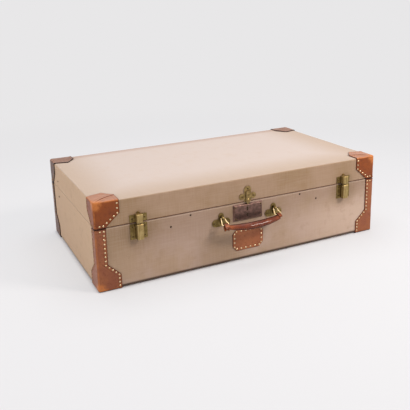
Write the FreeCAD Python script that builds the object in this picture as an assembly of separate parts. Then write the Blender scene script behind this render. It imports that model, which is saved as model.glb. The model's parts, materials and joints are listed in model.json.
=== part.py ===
"""Canvas suitcase with leather corners, on wooden boards.

Millimetres. X runs along the front from left to right, the front faces -Y and +Z is up. The case stands on
its four lower leather corners at z = 0, and x = y = 0 is the middle of the overall box, handle and hinges
included. Fittings on a wall are placed by how far they stand out of the canvas there.
"""
import FreeCAD
import Part
import math
import os

V = FreeCAD.Vector

# Case, measured over the leather corners
case_length = 750.0
case_depth = 415.0
case_height = 206.0
seam_height = 145.5
seam_gap = 1.0
upright_radius = 7.5
flat_radius = 4.0
leather = 2.0
canvas = 1.0
board = 7.0
lining = 1.0

# Rim strips inside the base, which the lid shuts over
rim_thickness = 5.0
rim_below = 26.0
rim_above = 8.0
rim_clearance = 1.2

# Leather corners: widths along the front and the side, and heights of their bends
lid_front_flap = 57.0
lid_side_flap = 50.0
lid_shoulder = 30.0
strip_width = 24.5
foot_front_flap = 53.0
foot_side_flap = 53.0
foot_height = 34.0
flare_height = 61.0
mitre_depth = 32.0
tip_along = 36.0
tip_depth = 60.0
leather_setback = 1.0

# Dome tacks in the leather
tack_head = 4.2
tack_rise = 1.5
tack_shank = 1.3
tack_length = 7.0
tack_inset = 4.6
tack_pitch = 10.0

# Nails and rivets in the metal fittings
nail_head = 4.0
nail_rise = 1.2
nail_shank = 1.6
nail_length = 7.0
rivet_head = 5.0
rivet_rise = 1.6
rivet_shank = 4.0
pin_clearance = 0.06

# Middle of the lock, handle and name patch, a little left of the middle of the front
fittings_x = -3.5

# Lock on the base
lock_width = 80.0
lock_tall = 42.0
lock_below_seam = 3.0
lock_proud = 4.5
lock_bevel = 3.5
lock_wall = 0.9
lock_nail_inset = 6.5
lock_case_width = 54.0
lock_case_tall = 32.0
lock_case_deep = 6.0
lock_case_wall = 1.0
slot_aside = 2.5
slot_width = 3.4
slot_tall = 11.0
slot_below_top = 8.0
keyhole_width = 3.0
keyhole_tall = 7.0
keyhole_eye = 5.2
keyhole_below_top = 26.0
bolt_length = 22.0
bolt_tall = 5.0
bolt_thick = 2.4
bolt_travel = 9.0
bolt_below_top = 9.5
bolt_clearance = 0.4

# Lock catch on the lid: its ears above the seam, its top below the top of the case, its rib below its top
catch_thick = 1.8
catch_width = 18.0
catch_below_top = 22.5
catch_clip = 4.5
catch_ear_spread = 15.0
catch_ear_radius = 7.5
catch_ear_rise = 13.5
catch_arm_tall = 12.0
catch_rib_width = 10.0
catch_rib_proud = 4.2
catch_rib_below_top = 12.0
catch_rib_gap = 1.5
catch_knob = 4.5
staple_width = 4.0
staple_thick = 1.2
staple_out = 1.6
staple_wall = 1.1
staple_clearance = 0.7

# Handle
handle_axis_height = 118.5
handle_axis_out = 8.0
handle_tilt = 54.0
mount_spread = 142.0
mount_width = 47.0
mount_tall = 32.5
mount_wing_tall = 18.0
mount_tab_width = 14.0
mount_nail_inset = 5.0
mount_thick = 1.8
mount_below_axis = 21.5
lug_width = 4.2
lug_radius = 4.6
ring_wire = 3.4
ring_top_width = 8.0
ring_low_width = 17.5
ring_drop = 19.0
ring_bend = 2.1
loop_wall = 2.2
loop_width = 10.0
loop_clearance = 0.2
grip_length = 148.0
grip_end_drop = 25.0
grip_mid_drop = 34.0
grip_end_tall = 10.0
grip_end_thick = 7.5
grip_mid_tall = 17.5
grip_mid_thick = 14.0
grip_spans = 8

# Name patch
patch_width = 82.5
patch_tall = 53.0
patch_bottom = 26.5
patch_clip = 10.0
patch_tack_pitch = 13.0

# Side latches: their middle from the end of the case, and drops below and rises above the seam
latch_from_end = 98.5
latch_plate_width = 40.0
latch_plate = 1.5
latch_base_drop = 38.0
latch_seam_margin = 2.0
latch_shoulder_rise = 19.0
latch_peak_rise = 26.0
latch_bar_width = 14.0
latch_bar_out = 13.5
latch_wall = 1.5
latch_lift = 0.8
lever_drop = 36.5
lever_barrel = 4.0
keeper_rise = 21.0
keeper_round = 2.0
cheek = 1.5
cheek_gap = 0.3
latch_pin = 3.0
tongue_width = 8.0
tongue_thick = 2.0
tongue_drop = 17.0
latch_nail_spread = 29.0
latch_nail_inset = 7.25

# Back hinges, with their middle from the end of the case
hinge_from_end = 145.0
hinge_width = 44.0
hinge_tall = 28.0
hinge_leaf = 1.6
hinge_out = 4.0
hinge_barrel = 3.2
hinge_pin = 3.0
hinge_knuckles = 5
hinge_knuckle_gap = 0.3
hinge_nail_spread = 30.0

# Jointed lid stays, with equal arms about the hinge axis
stay_arm = 82.0
stay_lid_rise = 12.5
stay_base_fall = 17.0
stay_width = 9.0
stay_thick = 1.6
stay_gap = 0.4
stay_head = 7.0
stay_head_thick = 1.0

# Bare rivets in the front wall: distance from the middle of the fittings, and drop below the seam
front_rivets = ((148.0, 7.0), (197.0, 26.0))

# Where the handle and the hinges end, which sets the middle of the overall box
tilt = math.radians(handle_tilt)
grip_half_depth = math.hypot(grip_mid_tall / 2 * math.sin(tilt), grip_mid_thick / 2 * math.cos(tilt))
front_reach = handle_axis_out + grip_mid_drop * math.sin(tilt) + grip_half_depth - leather
back_reach = hinge_out + hinge_barrel - leather
middle_y = (front_reach - back_reach) / 2

# Planes of the case
half_length = case_length / 2
half_depth = case_depth / 2
front_y = middle_y - half_depth + leather
back_y = middle_y + half_depth - leather
lid_edge = seam_height + seam_gap / 2
base_edge = seam_height - seam_gap / 2
wall = canvas + board
inner_x = half_length - leather - wall
inner_y = half_depth - leather - wall
lined_x = inner_x - lining
lined_y = inner_y - lining
floor_z = leather + wall
ceiling_z = case_height - leather - wall
hinge_y = back_y + hinge_out

# How far a cutting shape reaches past what it cuts
margin = 5.0

parts = {}


def out(distance):
    """Y of a point that stands this far out of the front canvas."""
    return front_y - distance


def box(x0, x1, y0, y1, z0, z1):
    """Box between two corners, given in any order."""
    low = V(min(x0, x1), min(y0, y1), min(z0, z1))
    return Part.makeBox(abs(x1 - x0), abs(y1 - y0), abs(z1 - z0), low)


def prism(points, along):
    """Solid from a flat outline of points, pushed along a vector."""
    outline = Part.makePolygon(points + points[:1])
    return Part.Face(outline).extrude(along)


def front_plate(points, low, high):
    """Plate with an (x, z) outline, between two distances out of the front canvas."""
    corners = [V(x, out(low), z) for x, z in points]
    return prism(corners, V(0, low - high, 0))


def rod(x0, x1, y, z, radius):
    """Cylinder along X."""
    return Part.makeCylinder(radius, abs(x1 - x0), V(min(x0, x1), y, z), V(1, 0, 0))


def mirrored(shape, x=True):
    """Copy on the other side of the case: left to right, or front to back."""
    return shape.mirror(V(0, middle_y, 0), V(1, 0, 0) if x else V(0, 1, 0))


def rounded_case(inset):
    """The whole case shape, inset from the leather's outside, with its rounded edges."""
    x = half_length - inset
    y = half_depth - inset
    grow = leather - inset
    solid = box(-x, x, middle_y - y, middle_y + y, inset, case_height - inset)
    uprights = [e for e in solid.Edges if abs(e.Vertexes[0].Z - e.Vertexes[1].Z) > case_height / 2]
    solid = solid.makeFillet(upright_radius + grow, uprights)
    level = [e for e in solid.Edges if e.BoundBox.ZLength < case_height / 2]
    return solid.makeFillet(flat_radius + grow, level)


def cell(z0, z1):
    """Upright box through the space inside the boards."""
    return box(-inner_x, inner_x, middle_y - inner_y, middle_y + inner_y, z0, z1)


def slab(z0, z1):
    """Level slab wider than the case."""
    wide = half_length + margin
    deep = half_depth + margin
    return box(-wide, wide, middle_y - deep, middle_y + deep, z0, z1)


def stud(head, rise, shank, length):
    """Dome-headed nail: the head above z = 0 and the shank below."""
    radius = (rise ** 2 + (head / 2) ** 2) / (2 * rise)
    ball = Part.makeSphere(radius, V(0, 0, rise - radius))
    dome = ball.common(box(-head, head, -head, head, 0, 2 * rise))
    return dome.fuse(Part.makeCylinder(shank / 2, length, V(0, 0, -length))).removeSplitter()


def place(shape, point, outward):
    """Copy of a nail, with its head's seat at a point and its head outward."""
    copy = shape.copy()
    copy.Placement = FreeCAD.Placement(point, FreeCAD.Rotation(V(0, 0, 1), outward))
    return copy


def spaced(points, pitch):
    """Points at an even pitch along a line of points, both ends included."""
    path = []
    for (a0, b0), (a1, b1) in zip(points, points[1:]):
        steps = max(1, round(math.hypot(a1 - a0, b1 - b0) / pitch))
        path += [(a0 + (a1 - a0) * i / steps, b0 + (b1 - b0) * i / steps) for i in range(steps)]
    return path + points[-1:]


# Boards, canvas, lining and rim


def boards(name, z0, z1, flat_name, flat_at_top):
    """A flat board and four walls between it and the seam."""
    core = rounded_case(leather + canvas)
    flat_z0, flat_z1 = (ceiling_z, z1) if flat_at_top else (z0, floor_z)
    wall_z0, wall_z1 = (z0, ceiling_z) if flat_at_top else (floor_z, z1)
    wide = half_length
    front = middle_y - inner_y
    back = middle_y + inner_y
    parts[f"{name}_{flat_name}_board"] = core.common(slab(flat_z0, flat_z1))
    parts[f"{name}_front_board"] = core.common(box(-wide, wide, front - board, front, wall_z0, wall_z1))
    parts[f"{name}_back_board"] = core.common(box(-wide, wide, back, back + board, wall_z0, wall_z1))
    parts[f"{name}_left_board"] = core.common(box(-wide, -inner_x, front, back, wall_z0, wall_z1))
    parts[f"{name}_right_board"] = core.common(box(inner_x, wide, front, back, wall_z0, wall_z1))


def covering(z0, z1, open_z, turn):
    """Canvas skin between two heights, turned over the edges of the walls at its open side."""
    skin = rounded_case(leather).common(slab(z0, z1))
    core = rounded_case(leather + canvas).common(slab(min(z0, z0 + turn), max(z1, z1 + turn)))
    inside = core.common(slab(*sorted((open_z + turn, case_height if turn > 0 else 0))))
    return skin.cut(inside).cut(cell(open_z - margin, open_z + margin))


def cloth_lining(z0, z1, open_at_top):
    """Cloth on the inside of the boards, open at the seam."""
    low = z0 if not open_at_top else z0 + lining
    high = z1 if open_at_top else z1 - lining
    hollow = box(-lined_x, lined_x, middle_y - lined_y, middle_y + lined_y, low, high)
    return cell(z0, z1).cut(hollow)


def rim_strip(length):
    """One strip of rim along X with its back at y = 0, stepped in where it stands in the lid."""
    top = seam_height + rim_above
    low = seam_height - rim_below
    profile = [
        V(0, 0, low),
        V(0, 0, base_edge - canvas),
        V(0, rim_clearance, base_edge - canvas),
        V(0, rim_clearance, top),
        V(0, rim_thickness, top),
        V(0, rim_thickness, low),
    ]
    return prism(profile, V(length, 0, 0))


def rim():
    """Strips on the front, the back and both sides, the side ones ending short of the stays."""
    front = rim_strip(2 * lined_x)
    front.translate(V(-lined_x, middle_y - lined_y, 0))
    side_end = hinge_y - 2 * stay_arm - stay_width
    side_start = middle_y - lined_y + rim_thickness
    side = rim_strip(side_end - side_start)
    side.rotate(V(0, 0, 0), V(0, 0, 1), -90)
    side.translate(V(-lined_x, side_end, 0))
    return Part.makeCompound([front, mirrored(front, x=False), side, mirrored(side)])


# Leather corners and their tacks


def corner_flaps(edge_z, flat_z, front_line, side_line, front_flap, side_flap):
    """Front left leather corner: a front flap, a side flap and a flat flap in one skin on the canvas."""
    shell = rounded_case(0).cut(rounded_case(leather))
    deep = upright_radius + leather
    rim_y = middle_y - half_depth
    far = -half_length - margin
    near = rim_y - margin
    beyond = flat_z + math.copysign(margin, flat_z - edge_z)
    front = [V(-half_length + u, near, z) for u, z in front_line]
    front = [V(far, near, edge_z)] + front + [V(front[-1].x, near, beyond), V(far, near, beyond)]
    side = [V(far, rim_y + u, z) for u, z in side_line]
    side = [V(far, near, edge_z)] + side + [V(far, side[-1].y, beyond), V(far, near, beyond)]
    flat = [
        V(far, near, beyond),
        V(-half_length + front_flap, near, beyond),
        V(-half_length + front_flap, rim_y + mitre_depth, beyond),
        V(-half_length + tip_along, rim_y + tip_depth, beyond),
        V(far, rim_y + side_flap, beyond),
    ]
    inward = math.copysign(margin + flat_radius + leather, edge_z - flat_z)
    masks = prism(front, V(0, margin + deep, 0))
    masks = masks.fuse(prism(side, V(margin + deep, 0, 0)))
    masks = masks.fuse(prism(flat, V(0, 0, inward)))
    return shell.common(masks).removeSplitter()


lid_leather_edge = lid_edge + leather_setback
base_leather_edge = base_edge - leather_setback


def lid_line(flap):
    """Free edge of a lid flap from the seam up: distance from the corner, and height."""
    return [(strip_width, lid_leather_edge), (flap, case_height - lid_shoulder)]


def base_line(flap):
    """Free edge of a base flap from the seam down: the strip, the flare and the foot."""
    return [(strip_width, base_leather_edge), (strip_width, flare_height), (flap, foot_height)]


def tack_line(line, last_z, seam_inset):
    """Tack places inside the free edge of a flap, with one more beside the seam."""
    seam_z = line[0][1] + seam_inset
    inside = [(strip_width - tack_inset, seam_z)] + [(u - tack_inset, z) for u, z in line[1:]]
    inside.append((inside[-1][0], last_z))
    beside = upright_radius + leather + tack_head / 2
    return [(beside, seam_z)] + spaced(inside, tack_pitch)


def corner_tacks(front_places, side_places):
    """Tacks of all four corners at one level, on the front, back and side flaps."""
    tack = stud(tack_head, tack_rise, tack_shank, tack_length)
    left = [place(tack, V(-half_length + u, front_y - leather, z), V(0, -1, 0)) for u, z in front_places]
    left += [place(tack, V(-half_length, front_y - leather + u, z), V(-1, 0, 0)) for u, z in side_places]
    front = left + [mirrored(t) for t in left]
    return front + [mirrored(t, x=False) for t in front]


def leather_corners():
    """The eight corners and the corner tacks."""
    lid_lines = lid_line(lid_front_flap), lid_line(lid_side_flap)
    base_lines = base_line(foot_front_flap), base_line(foot_side_flap)
    lid = corner_flaps(lid_leather_edge, case_height, *lid_lines, lid_front_flap, lid_side_flap)
    base = corner_flaps(base_leather_edge, 0, *base_lines, foot_front_flap, foot_side_flap)
    for name, left in (("lid", lid), ("base", base)):
        parts[f"{name}_corner_front_left"] = left
        parts[f"{name}_corner_front_right"] = mirrored(left)
        parts[f"{name}_corner_back_left"] = mirrored(left, x=False)
        parts[f"{name}_corner_back_right"] = mirrored(mirrored(left), x=False)
    top_z = case_height - flat_radius - leather - tack_head / 2
    foot_z = flat_radius + leather + tack_head / 2
    lid_tacks = corner_tacks(*(tack_line(line, top_z, tack_inset) for line in lid_lines))
    base_tacks = corner_tacks(*(tack_line(line, foot_z, -tack_inset) for line in base_lines))
    return lid_tacks, base_tacks


def name_patch():
    """Leather patch with clipped corners, and its tacks."""
    half = patch_width / 2
    top = patch_bottom + patch_tall
    right = [(half, patch_bottom + patch_clip), (half, top - patch_clip), (half - patch_clip, top)]
    low_right = (half - patch_clip, patch_bottom)
    left = [(-x, z) for x, z in reversed([low_right] + right)]
    outline = [(fittings_x + x, z) for x, z in [low_right] + right + left]
    parts["name_patch"] = front_plate(outline, 0, leather)
    tack = stud(tack_head, tack_rise, tack_shank, tack_length)
    side_x = half - tack_inset
    low_x = half - patch_clip
    side = spaced([(side_x, patch_bottom + patch_clip), (side_x, top - patch_clip)], tack_pitch)
    low = spaced([(-low_x, patch_bottom + tack_inset), (low_x, patch_bottom + tack_inset)], patch_tack_pitch)
    high = [(x, top - tack_inset) for x, _ in low]
    places = side + [(-x, z) for x, z in side] + low + high
    return [place(tack, V(fittings_x + x, out(leather), z), V(0, -1, 0)) for x, z in places]


# Lock and catch

lock_top = seam_height - lock_below_seam
catch_top = case_height - catch_below_top
catch_rib_top = catch_top - catch_rib_below_top
catch_ear_height = seam_height + catch_ear_rise
staple_low = lock_top - bolt_below_top - bolt_tall / 2 - bolt_clearance - staple_wall
staple_slot = staple_width / 2 + staple_clearance
case_top = lock_top - (lock_tall - lock_case_tall) / 2
bolt_z = lock_top - bolt_below_top
bolt_out = -(lock_case_deep - lock_case_wall) / 2 + staple_wall / 2
bolt_start = fittings_x + staple_width / 2 + staple_clearance
staple_in = bolt_out - bolt_thick / 2 - bolt_clearance - staple_wall


def lock_plate():
    """Bevelled hollow plate with the slot, the keyhole and a slot in its top for the staple."""
    bottom = lock_top - lock_tall
    middle = (lock_top + bottom) / 2

    def frame(grow, distance):
        x = lock_width / 2 + grow
        z = lock_tall / 2 + grow
        corners = [(-x, -z), (x, -z), (x, z), (-x, z), (-x, -z)]
        return Part.makePolygon([V(fittings_x + a, out(distance), middle + b) for a, b in corners])

    solid = Part.makeLoft([frame(0, 0), frame(-lock_bevel, lock_proud)], True, True)
    half = lock_case_width / 2
    inside = lock_proud - lock_wall
    hollow = box(fittings_x - half, fittings_x + half, out(0), out(inside),
                 case_top - lock_case_tall, case_top)
    way_in = box(fittings_x - staple_slot, fittings_x + staple_slot, out(0), out(inside),
                 case_top - margin, lock_top + margin)
    through = V(0, -lock_proud - margin, 0)
    slot_x = fittings_x - slot_aside
    slot_z = lock_top - slot_below_top
    slot = box(slot_x - slot_width / 2, slot_x + slot_width / 2, out(0), out(lock_proud + margin),
               slot_z - slot_tall, slot_z)
    key_z = lock_top - keyhole_below_top
    keyhole = box(slot_x - keyhole_width / 2, slot_x + keyhole_width / 2, out(0), out(lock_proud + margin),
                  key_z - keyhole_tall, key_z)
    eye = Part.makeCylinder(keyhole_eye / 2, through.Length, V(slot_x, out(0), key_z), through)
    nail_x = lock_width / 2 - lock_nail_inset
    nail_z = lock_tall / 2 - lock_nail_inset
    nails = [V(fittings_x + a * nail_x, out(lock_proud), middle + b * nail_z)
             for a in (-1, 1) for b in (-1, 1)]
    return solid.cut(hollow).cut(way_in).cut(slot).cut(keyhole).cut(eye), nails


def lock_pocket():
    """Space cut into the front wall for the lock case, and for the staple above it."""
    half = lock_case_width / 2
    pocket = box(fittings_x - half, fittings_x + half, out(0), out(-lock_case_deep),
                 case_top - lock_case_tall, case_top)
    way_in = box(fittings_x - staple_slot, fittings_x + staple_slot, out(0), out(-lock_case_deep),
                 case_top - margin, seam_height)
    return pocket.fuse(way_in)


def lock_case():
    """Open-fronted metal case in the pocket, with two rails that guide the bolt."""
    half = lock_case_width / 2
    low = case_top - lock_case_tall
    solid = box(fittings_x - half, fittings_x + half, out(0), out(-lock_case_deep), low, case_top)
    w = lock_case_wall
    inside = box(fittings_x - half + w, fittings_x + half - w, out(0), out(w - lock_case_deep),
                 low + w, case_top - w)
    way_in = box(fittings_x - staple_slot, fittings_x + staple_slot, out(0), out(w - lock_case_deep),
                 case_top - margin, case_top)
    rail_z = bolt_tall / 2 + bolt_clearance
    rail_x = bolt_start + bolt_length - bolt_travel
    rails = []
    for z in (bolt_z - rail_z - w, bolt_z + rail_z):
        rails.append(box(bolt_start, rail_x, out(bolt_out + bolt_thick / 2), out(w - lock_case_deep),
                         z, z + w))
    return solid.cut(inside).cut(way_in).fuse(rails).removeSplitter()


def lock_bolt():
    """Flat bolt beside the staple, drawn back."""
    y0 = out(bolt_out - bolt_thick / 2)
    y1 = out(bolt_out + bolt_thick / 2)
    return box(bolt_start, bolt_start + bolt_length, y0, y1, bolt_z - bolt_tall / 2, bolt_z + bolt_tall / 2)


def lock_catch():
    """Three-lobed plate on the lid, with a rib, a knob and the staple that drops into the lock."""
    low = lid_edge
    x = fittings_x
    half = catch_width / 2
    side_top = catch_top - catch_clip
    bar = [(x - half, low), (x + half, low), (x + half, side_top), (x + half - catch_clip, catch_top)]
    bar += [(x - half + catch_clip, catch_top), (x - half, side_top)]
    plate = front_plate(bar, 0, catch_thick)
    arm = catch_arm_tall / 2
    cross = [(x - catch_ear_spread, catch_ear_height - arm), (x + catch_ear_spread, catch_ear_height - arm)]
    cross += [(a, catch_ear_height + arm) for a, _ in reversed(cross)]
    plate = plate.fuse(front_plate(cross, 0, catch_thick))
    nails = [V(x, out(catch_thick), (catch_rib_top + catch_top) / 2)]
    for side in (-1, 1):
        ear = V(x + side * catch_ear_spread, out(0), catch_ear_height)
        plate = plate.fuse(Part.makeCylinder(catch_ear_radius, catch_thick, ear, V(0, -1, 0)))
        nails.append(V(ear.x, out(catch_thick), ear.z))
    half = catch_rib_width / 2
    rib_low = lock_top + catch_rib_gap
    rib = box(x - half, x + half, out(staple_out), out(catch_rib_proud), rib_low, catch_rib_top)
    knob = Part.makeSphere(catch_knob, V(x, out(catch_thick), lid_edge + catch_knob))
    knob = knob.common(box(x - half, x + half, out(catch_thick), out(lock_case_width), low, catch_top))
    half = staple_width / 2
    leg = box(x - half, x + half, out(staple_out), out(staple_out + staple_thick), staple_low, rib_low)
    lug_top = bolt_z + bolt_tall / 2 + bolt_clearance + staple_wall
    lug = box(x - half, x + half, out(staple_in), out(staple_out), staple_low, lug_top)
    eye_z = bolt_tall / 2 + bolt_clearance
    eye_y = bolt_thick / 2 + bolt_clearance
    eye = box(x - half, x + half, out(bolt_out - eye_y), out(bolt_out + eye_y),
              bolt_z - eye_z, bolt_z + eye_z)
    return plate.fuse([rib, knob, leg, lug]).cut(eye).removeSplitter(), nails


# Handle

handle_y = out(handle_axis_out)
mount_low = handle_axis_height - mount_below_axis
mount_wing_mid = mount_low + mount_wing_tall / 2


def handle_mount(x):
    """Brass plate with two round nail wings, a round-topped tab, and a ribbed lug with the ring's eye."""
    wing = mount_wing_tall / 2
    wing_end = mount_width / 2 - wing
    tab = mount_tab_width / 2
    tab_top = mount_low + mount_tall - tab
    plate = None
    for half, high in ((wing_end, mount_low + mount_wing_tall), (tab, tab_top)):
        outline = [(x - half, mount_low), (x + half, mount_low), (x + half, high), (x - half, high)]
        strip = front_plate(outline, 0, mount_thick)
        plate = plate.fuse(strip) if plate else strip
    rounds = [(x + side * wing_end, mount_wing_mid, wing) for side in (-1, 1)]
    for round_x, round_z, radius in rounds + [(x, tab_top, tab)]:
        centre = V(round_x, out(0), round_z)
        plate = plate.fuse(Part.makeCylinder(radius, mount_thick, centre, V(0, -1, 0)))
    half = lug_width / 2
    lug_low = handle_axis_height - lug_radius
    lug = box(x - half, x + half, out(0), handle_y, lug_low, handle_axis_height + lug_radius)
    lug = lug.fuse(rod(x - half, x + half, handle_y, handle_axis_height, lug_radius))
    rib = [V(x - half, out(0), mount_low), V(x - half, out(0), lug_low), V(x - half, handle_y, lug_low)]
    lug = lug.fuse(prism(rib, V(lug_width, 0, 0)))
    eye = rod(x - half, x + half, handle_y, handle_axis_height, ring_wire / 2 + pin_clearance)
    nail_x = mount_width / 2 - mount_nail_inset
    nails = [V(x + side * nail_x, out(mount_thick), mount_wing_mid) for side in (-1, 1)]
    return plate.fuse(lug).cut(eye).removeSplitter(), nails


def hang(shape):
    """Turn a piece modelled hanging straight down to the angle at which the handle rests."""
    shape.rotate(V(0, handle_y, handle_axis_height), V(1, 0, 0), -handle_tilt)
    return shape


def handle_ring(x):
    """Four-sided wire ring with round corners, narrow in the lug's eye and wide in the grip's loop."""
    top = V(x, handle_y, handle_axis_height)
    low = top - V(0, 0, ring_drop)
    narrow = V(ring_top_width / 2, 0, 0)
    wide = V(ring_low_width / 2, 0, 0)
    corners = [top + narrow, low + wide, low - wide, top - narrow]
    edges = []
    reached = top
    for i, corner in enumerate(corners):
        back = (corners[i - 1] - corner).normalize()
        ahead = (corners[(i + 1) % len(corners)] - corner).normalize()
        half_turn = back.getAngle(ahead) / 2
        arm = ring_bend / math.tan(half_turn)
        inward = (back + ahead).normalize()
        knee = corner + inward * (ring_bend / math.sin(half_turn) - ring_bend)
        edges.append(Part.LineSegment(reached, corner + back * arm).toShape())
        reached = corner + ahead * arm
        edges.append(Part.Arc(corner + back * arm, knee, reached).toShape())
    edges.append(Part.LineSegment(reached, top).toShape())
    circle = Part.Wire(Part.makeCircle(ring_wire / 2, top, V(1, 0, 0)))
    wire = Part.Wire(edges).makePipeShell([circle], True, False)
    return hang(wire)


def handle_grip():
    """Rolled leather grip, thick and low in the middle, with a loop round each ring's lower bar."""
    sections = []
    for i in range(grip_spans + 1):
        share = 2 * i / grip_spans - 1
        full = 1 - share ** 2
        drop = grip_end_drop + (grip_mid_drop - grip_end_drop) * full
        tall = grip_end_tall + (grip_mid_tall - grip_end_tall) * full
        thick = grip_end_thick + (grip_mid_thick - grip_end_thick) * full
        centre = V(fittings_x + share * grip_length / 2, handle_y, handle_axis_height - drop)
        up = Part.Ellipse(centre + V(0, 0, tall / 2), centre + V(0, thick / 2, 0), centre)
        sections.append(Part.Wire(up.toShape()))
    grip = Part.makeLoft(sections, True, False)
    bar = handle_axis_height - ring_drop
    for side in (-1, 1):
        x = fittings_x + side * mount_spread / 2
        half = loop_width / 2
        radius = ring_wire / 2 + loop_wall
        loop = rod(x - half, x + half, handle_y, bar, radius)
        neck = box(x - half, x + half, handle_y - radius, handle_y + radius,
                   handle_axis_height - grip_end_drop, bar)
        hole = rod(x - ring_low_width, x + ring_low_width, handle_y, bar, ring_wire / 2 + loop_clearance)
        grip = grip.fuse([loop, neck]).cut(hole)
    return hang(grip.removeSplitter())


# Side latches

latch_low = seam_height - latch_seam_margin
latch_high = seam_height + latch_seam_margin
latch_base_bottom = seam_height - latch_base_drop
latch_shoulder = seam_height + latch_shoulder_rise
latch_peak = seam_height + latch_peak_rise
lever_bottom = seam_height - lever_drop
keeper_top = seam_height + keeper_rise
tongue_bottom = seam_height - tongue_drop
barrel_out = latch_bar_out - lever_barrel
barrel_z = base_edge - pin_clearance - lever_barrel
latch_back = latch_plate + latch_lift
bar_half = latch_bar_width / 2
cheek_x = bar_half + cheek_gap


def latch_base_plate(x):
    """Plate on the base with two cheeks that hold the lever's pin."""
    half = latch_plate_width / 2
    plate = front_plate([(x - half, latch_base_bottom), (x + half, latch_base_bottom),
                         (x + half, latch_low), (x - half, latch_low)], 0, latch_plate)
    for side in (-1, 1):
        x0 = x + side * cheek_x
        x1 = x0 + side * cheek
        plate = plate.fuse(box(x0, x1, out(0), out(barrel_out), barrel_z - lever_barrel, latch_low))
        plate = plate.fuse(rod(x0, x1, out(barrel_out), barrel_z, latch_low - barrel_z))
    low = latch_base_bottom + latch_nail_inset
    high = barrel_z - lever_barrel
    nails = [V(x + side * latch_nail_spread / 2, out(latch_plate), z)
             for side in (-1, 1) for z in (low, high)]
    return plate.cut(latch_pin_rod(x)).removeSplitter(), nails


def latch_pin_rod(x):
    """Pin through both cheeks."""
    half = cheek_x + cheek
    return rod(x - half, x + half, out(barrel_out), barrel_z, latch_pin / 2)


def latch_lever(x):
    """Hollow lever that hangs from its barrel, closed at the bottom."""
    inner = bar_half - latch_wall
    solid = box(x - bar_half, x + bar_half, out(latch_back), out(latch_bar_out), lever_bottom, barrel_z)
    hollow = box(x - inner, x + inner, out(0), out(latch_bar_out - latch_wall),
                 lever_bottom + latch_wall, barrel_z)
    solid = solid.cut(hollow).fuse(rod(x - bar_half, x + bar_half, out(barrel_out), barrel_z, lever_barrel))
    hole = rod(x - bar_half, x + bar_half, out(barrel_out), barrel_z, latch_pin / 2 + pin_clearance)
    return solid.cut(hole).removeSplitter()


def latch_lid_plate(x):
    """Plate on the lid with a peaked top."""
    half = latch_plate_width / 2
    outline = [(x - half, latch_high), (x + half, latch_high), (x + half, latch_shoulder),
               (x + bar_half, latch_shoulder), (x, latch_peak), (x - bar_half, latch_shoulder),
               (x - half, latch_shoulder)]
    nail_z = (latch_high + latch_shoulder) / 2
    nails = [V(x + side * latch_nail_spread / 2, out(latch_plate), nail_z) for side in (-1, 1)]
    return front_plate(outline, 0, latch_plate), nails


def latch_keeper(x):
    """Block on the lid plate, with the tongue that drops behind the lever's barrel."""
    block = box(x - bar_half, x + bar_half, out(latch_plate), out(latch_bar_out), latch_high, keeper_top)
    front = [e for e in block.Edges if e.BoundBox.YMax < out(latch_bar_out) + keeper_round / 2
             and e.BoundBox.ZMax > latch_high + keeper_round / 2]
    block = block.makeFillet(keeper_round, front)
    half = tongue_width / 2
    tongue = box(x - half, x + half, out(latch_back), out(latch_back + tongue_thick), tongue_bottom,
                 latch_high + latch_wall)
    return block.fuse(tongue).removeSplitter()


# Hinges


def hinge_leaf_solid(x, lid):
    """One leaf with its share of the knuckles: odd ones on the base leaf, even ones on the lid leaf."""
    up = 1 if lid else -1
    half = hinge_width / 2
    clear = seam_height + up * (hinge_barrel + hinge_knuckle_gap)
    leaf = box(x - half, x + half, back_y, back_y + hinge_leaf, clear, clear + up * hinge_tall)
    pitch = hinge_width / hinge_knuckles
    for i in range(1 if lid else 0, hinge_knuckles, 2):
        x0 = x - half + i * pitch + hinge_knuckle_gap / 2
        x1 = x0 + pitch - hinge_knuckle_gap
        web = box(x0, x1, back_y + hinge_knuckle_gap, hinge_y, seam_height, clear + up * hinge_leaf)
        leaf = leaf.fuse(web).fuse(rod(x0, x1, hinge_y, seam_height, hinge_barrel))
    hole = hinge_pin / 2 + (pin_clearance if lid else 0)
    leaf = leaf.cut(rod(x - half, x + half, hinge_y, seam_height, hole))
    nail_z = clear + up * hinge_tall / 2
    nails = [V(x + side * hinge_nail_spread / 2, back_y + hinge_leaf, nail_z) for side in (-1, 1)]
    return leaf.removeSplitter(), nails


# Lid stays

rise = math.radians(stay_lid_rise)
fall = math.radians(stay_base_fall)
stay_lid_y = hinge_y - stay_arm * math.cos(rise)
stay_lid_z = seam_height + stay_arm * math.sin(rise)
stay_base_y = hinge_y - stay_arm * math.cos(fall)
stay_base_z = seam_height - stay_arm * math.sin(fall)
knee_y = stay_lid_y + stay_base_y - hinge_y
knee_z = stay_lid_z + stay_base_z - seam_height
base_link_x = lined_x - stay_gap
lid_link_x = base_link_x - stay_thick - stay_gap
head_x = lid_link_x - stay_thick - stay_gap


def stay_link(x, y0, z0, y1, z1):
    """Flat bar with round ends on its two pivots, on the right side."""
    radius = stay_width / 2
    length = math.hypot(y1 - y0, z1 - z0)
    ny = -(z1 - z0) / length * radius
    nz = (y1 - y0) / length * radius
    sides = [V(x, y0 + ny, z0 + nz), V(x, y1 + ny, z1 + nz), V(x, y1 - ny, z1 - nz), V(x, y0 - ny, z0 - nz)]
    bar = prism(sides, V(-stay_thick, 0, 0))
    for y, z in ((y0, z0), (y1, z1)):
        bar = bar.fuse(rod(x - stay_thick, x, y, z, radius))
    return bar.removeSplitter()


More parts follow.
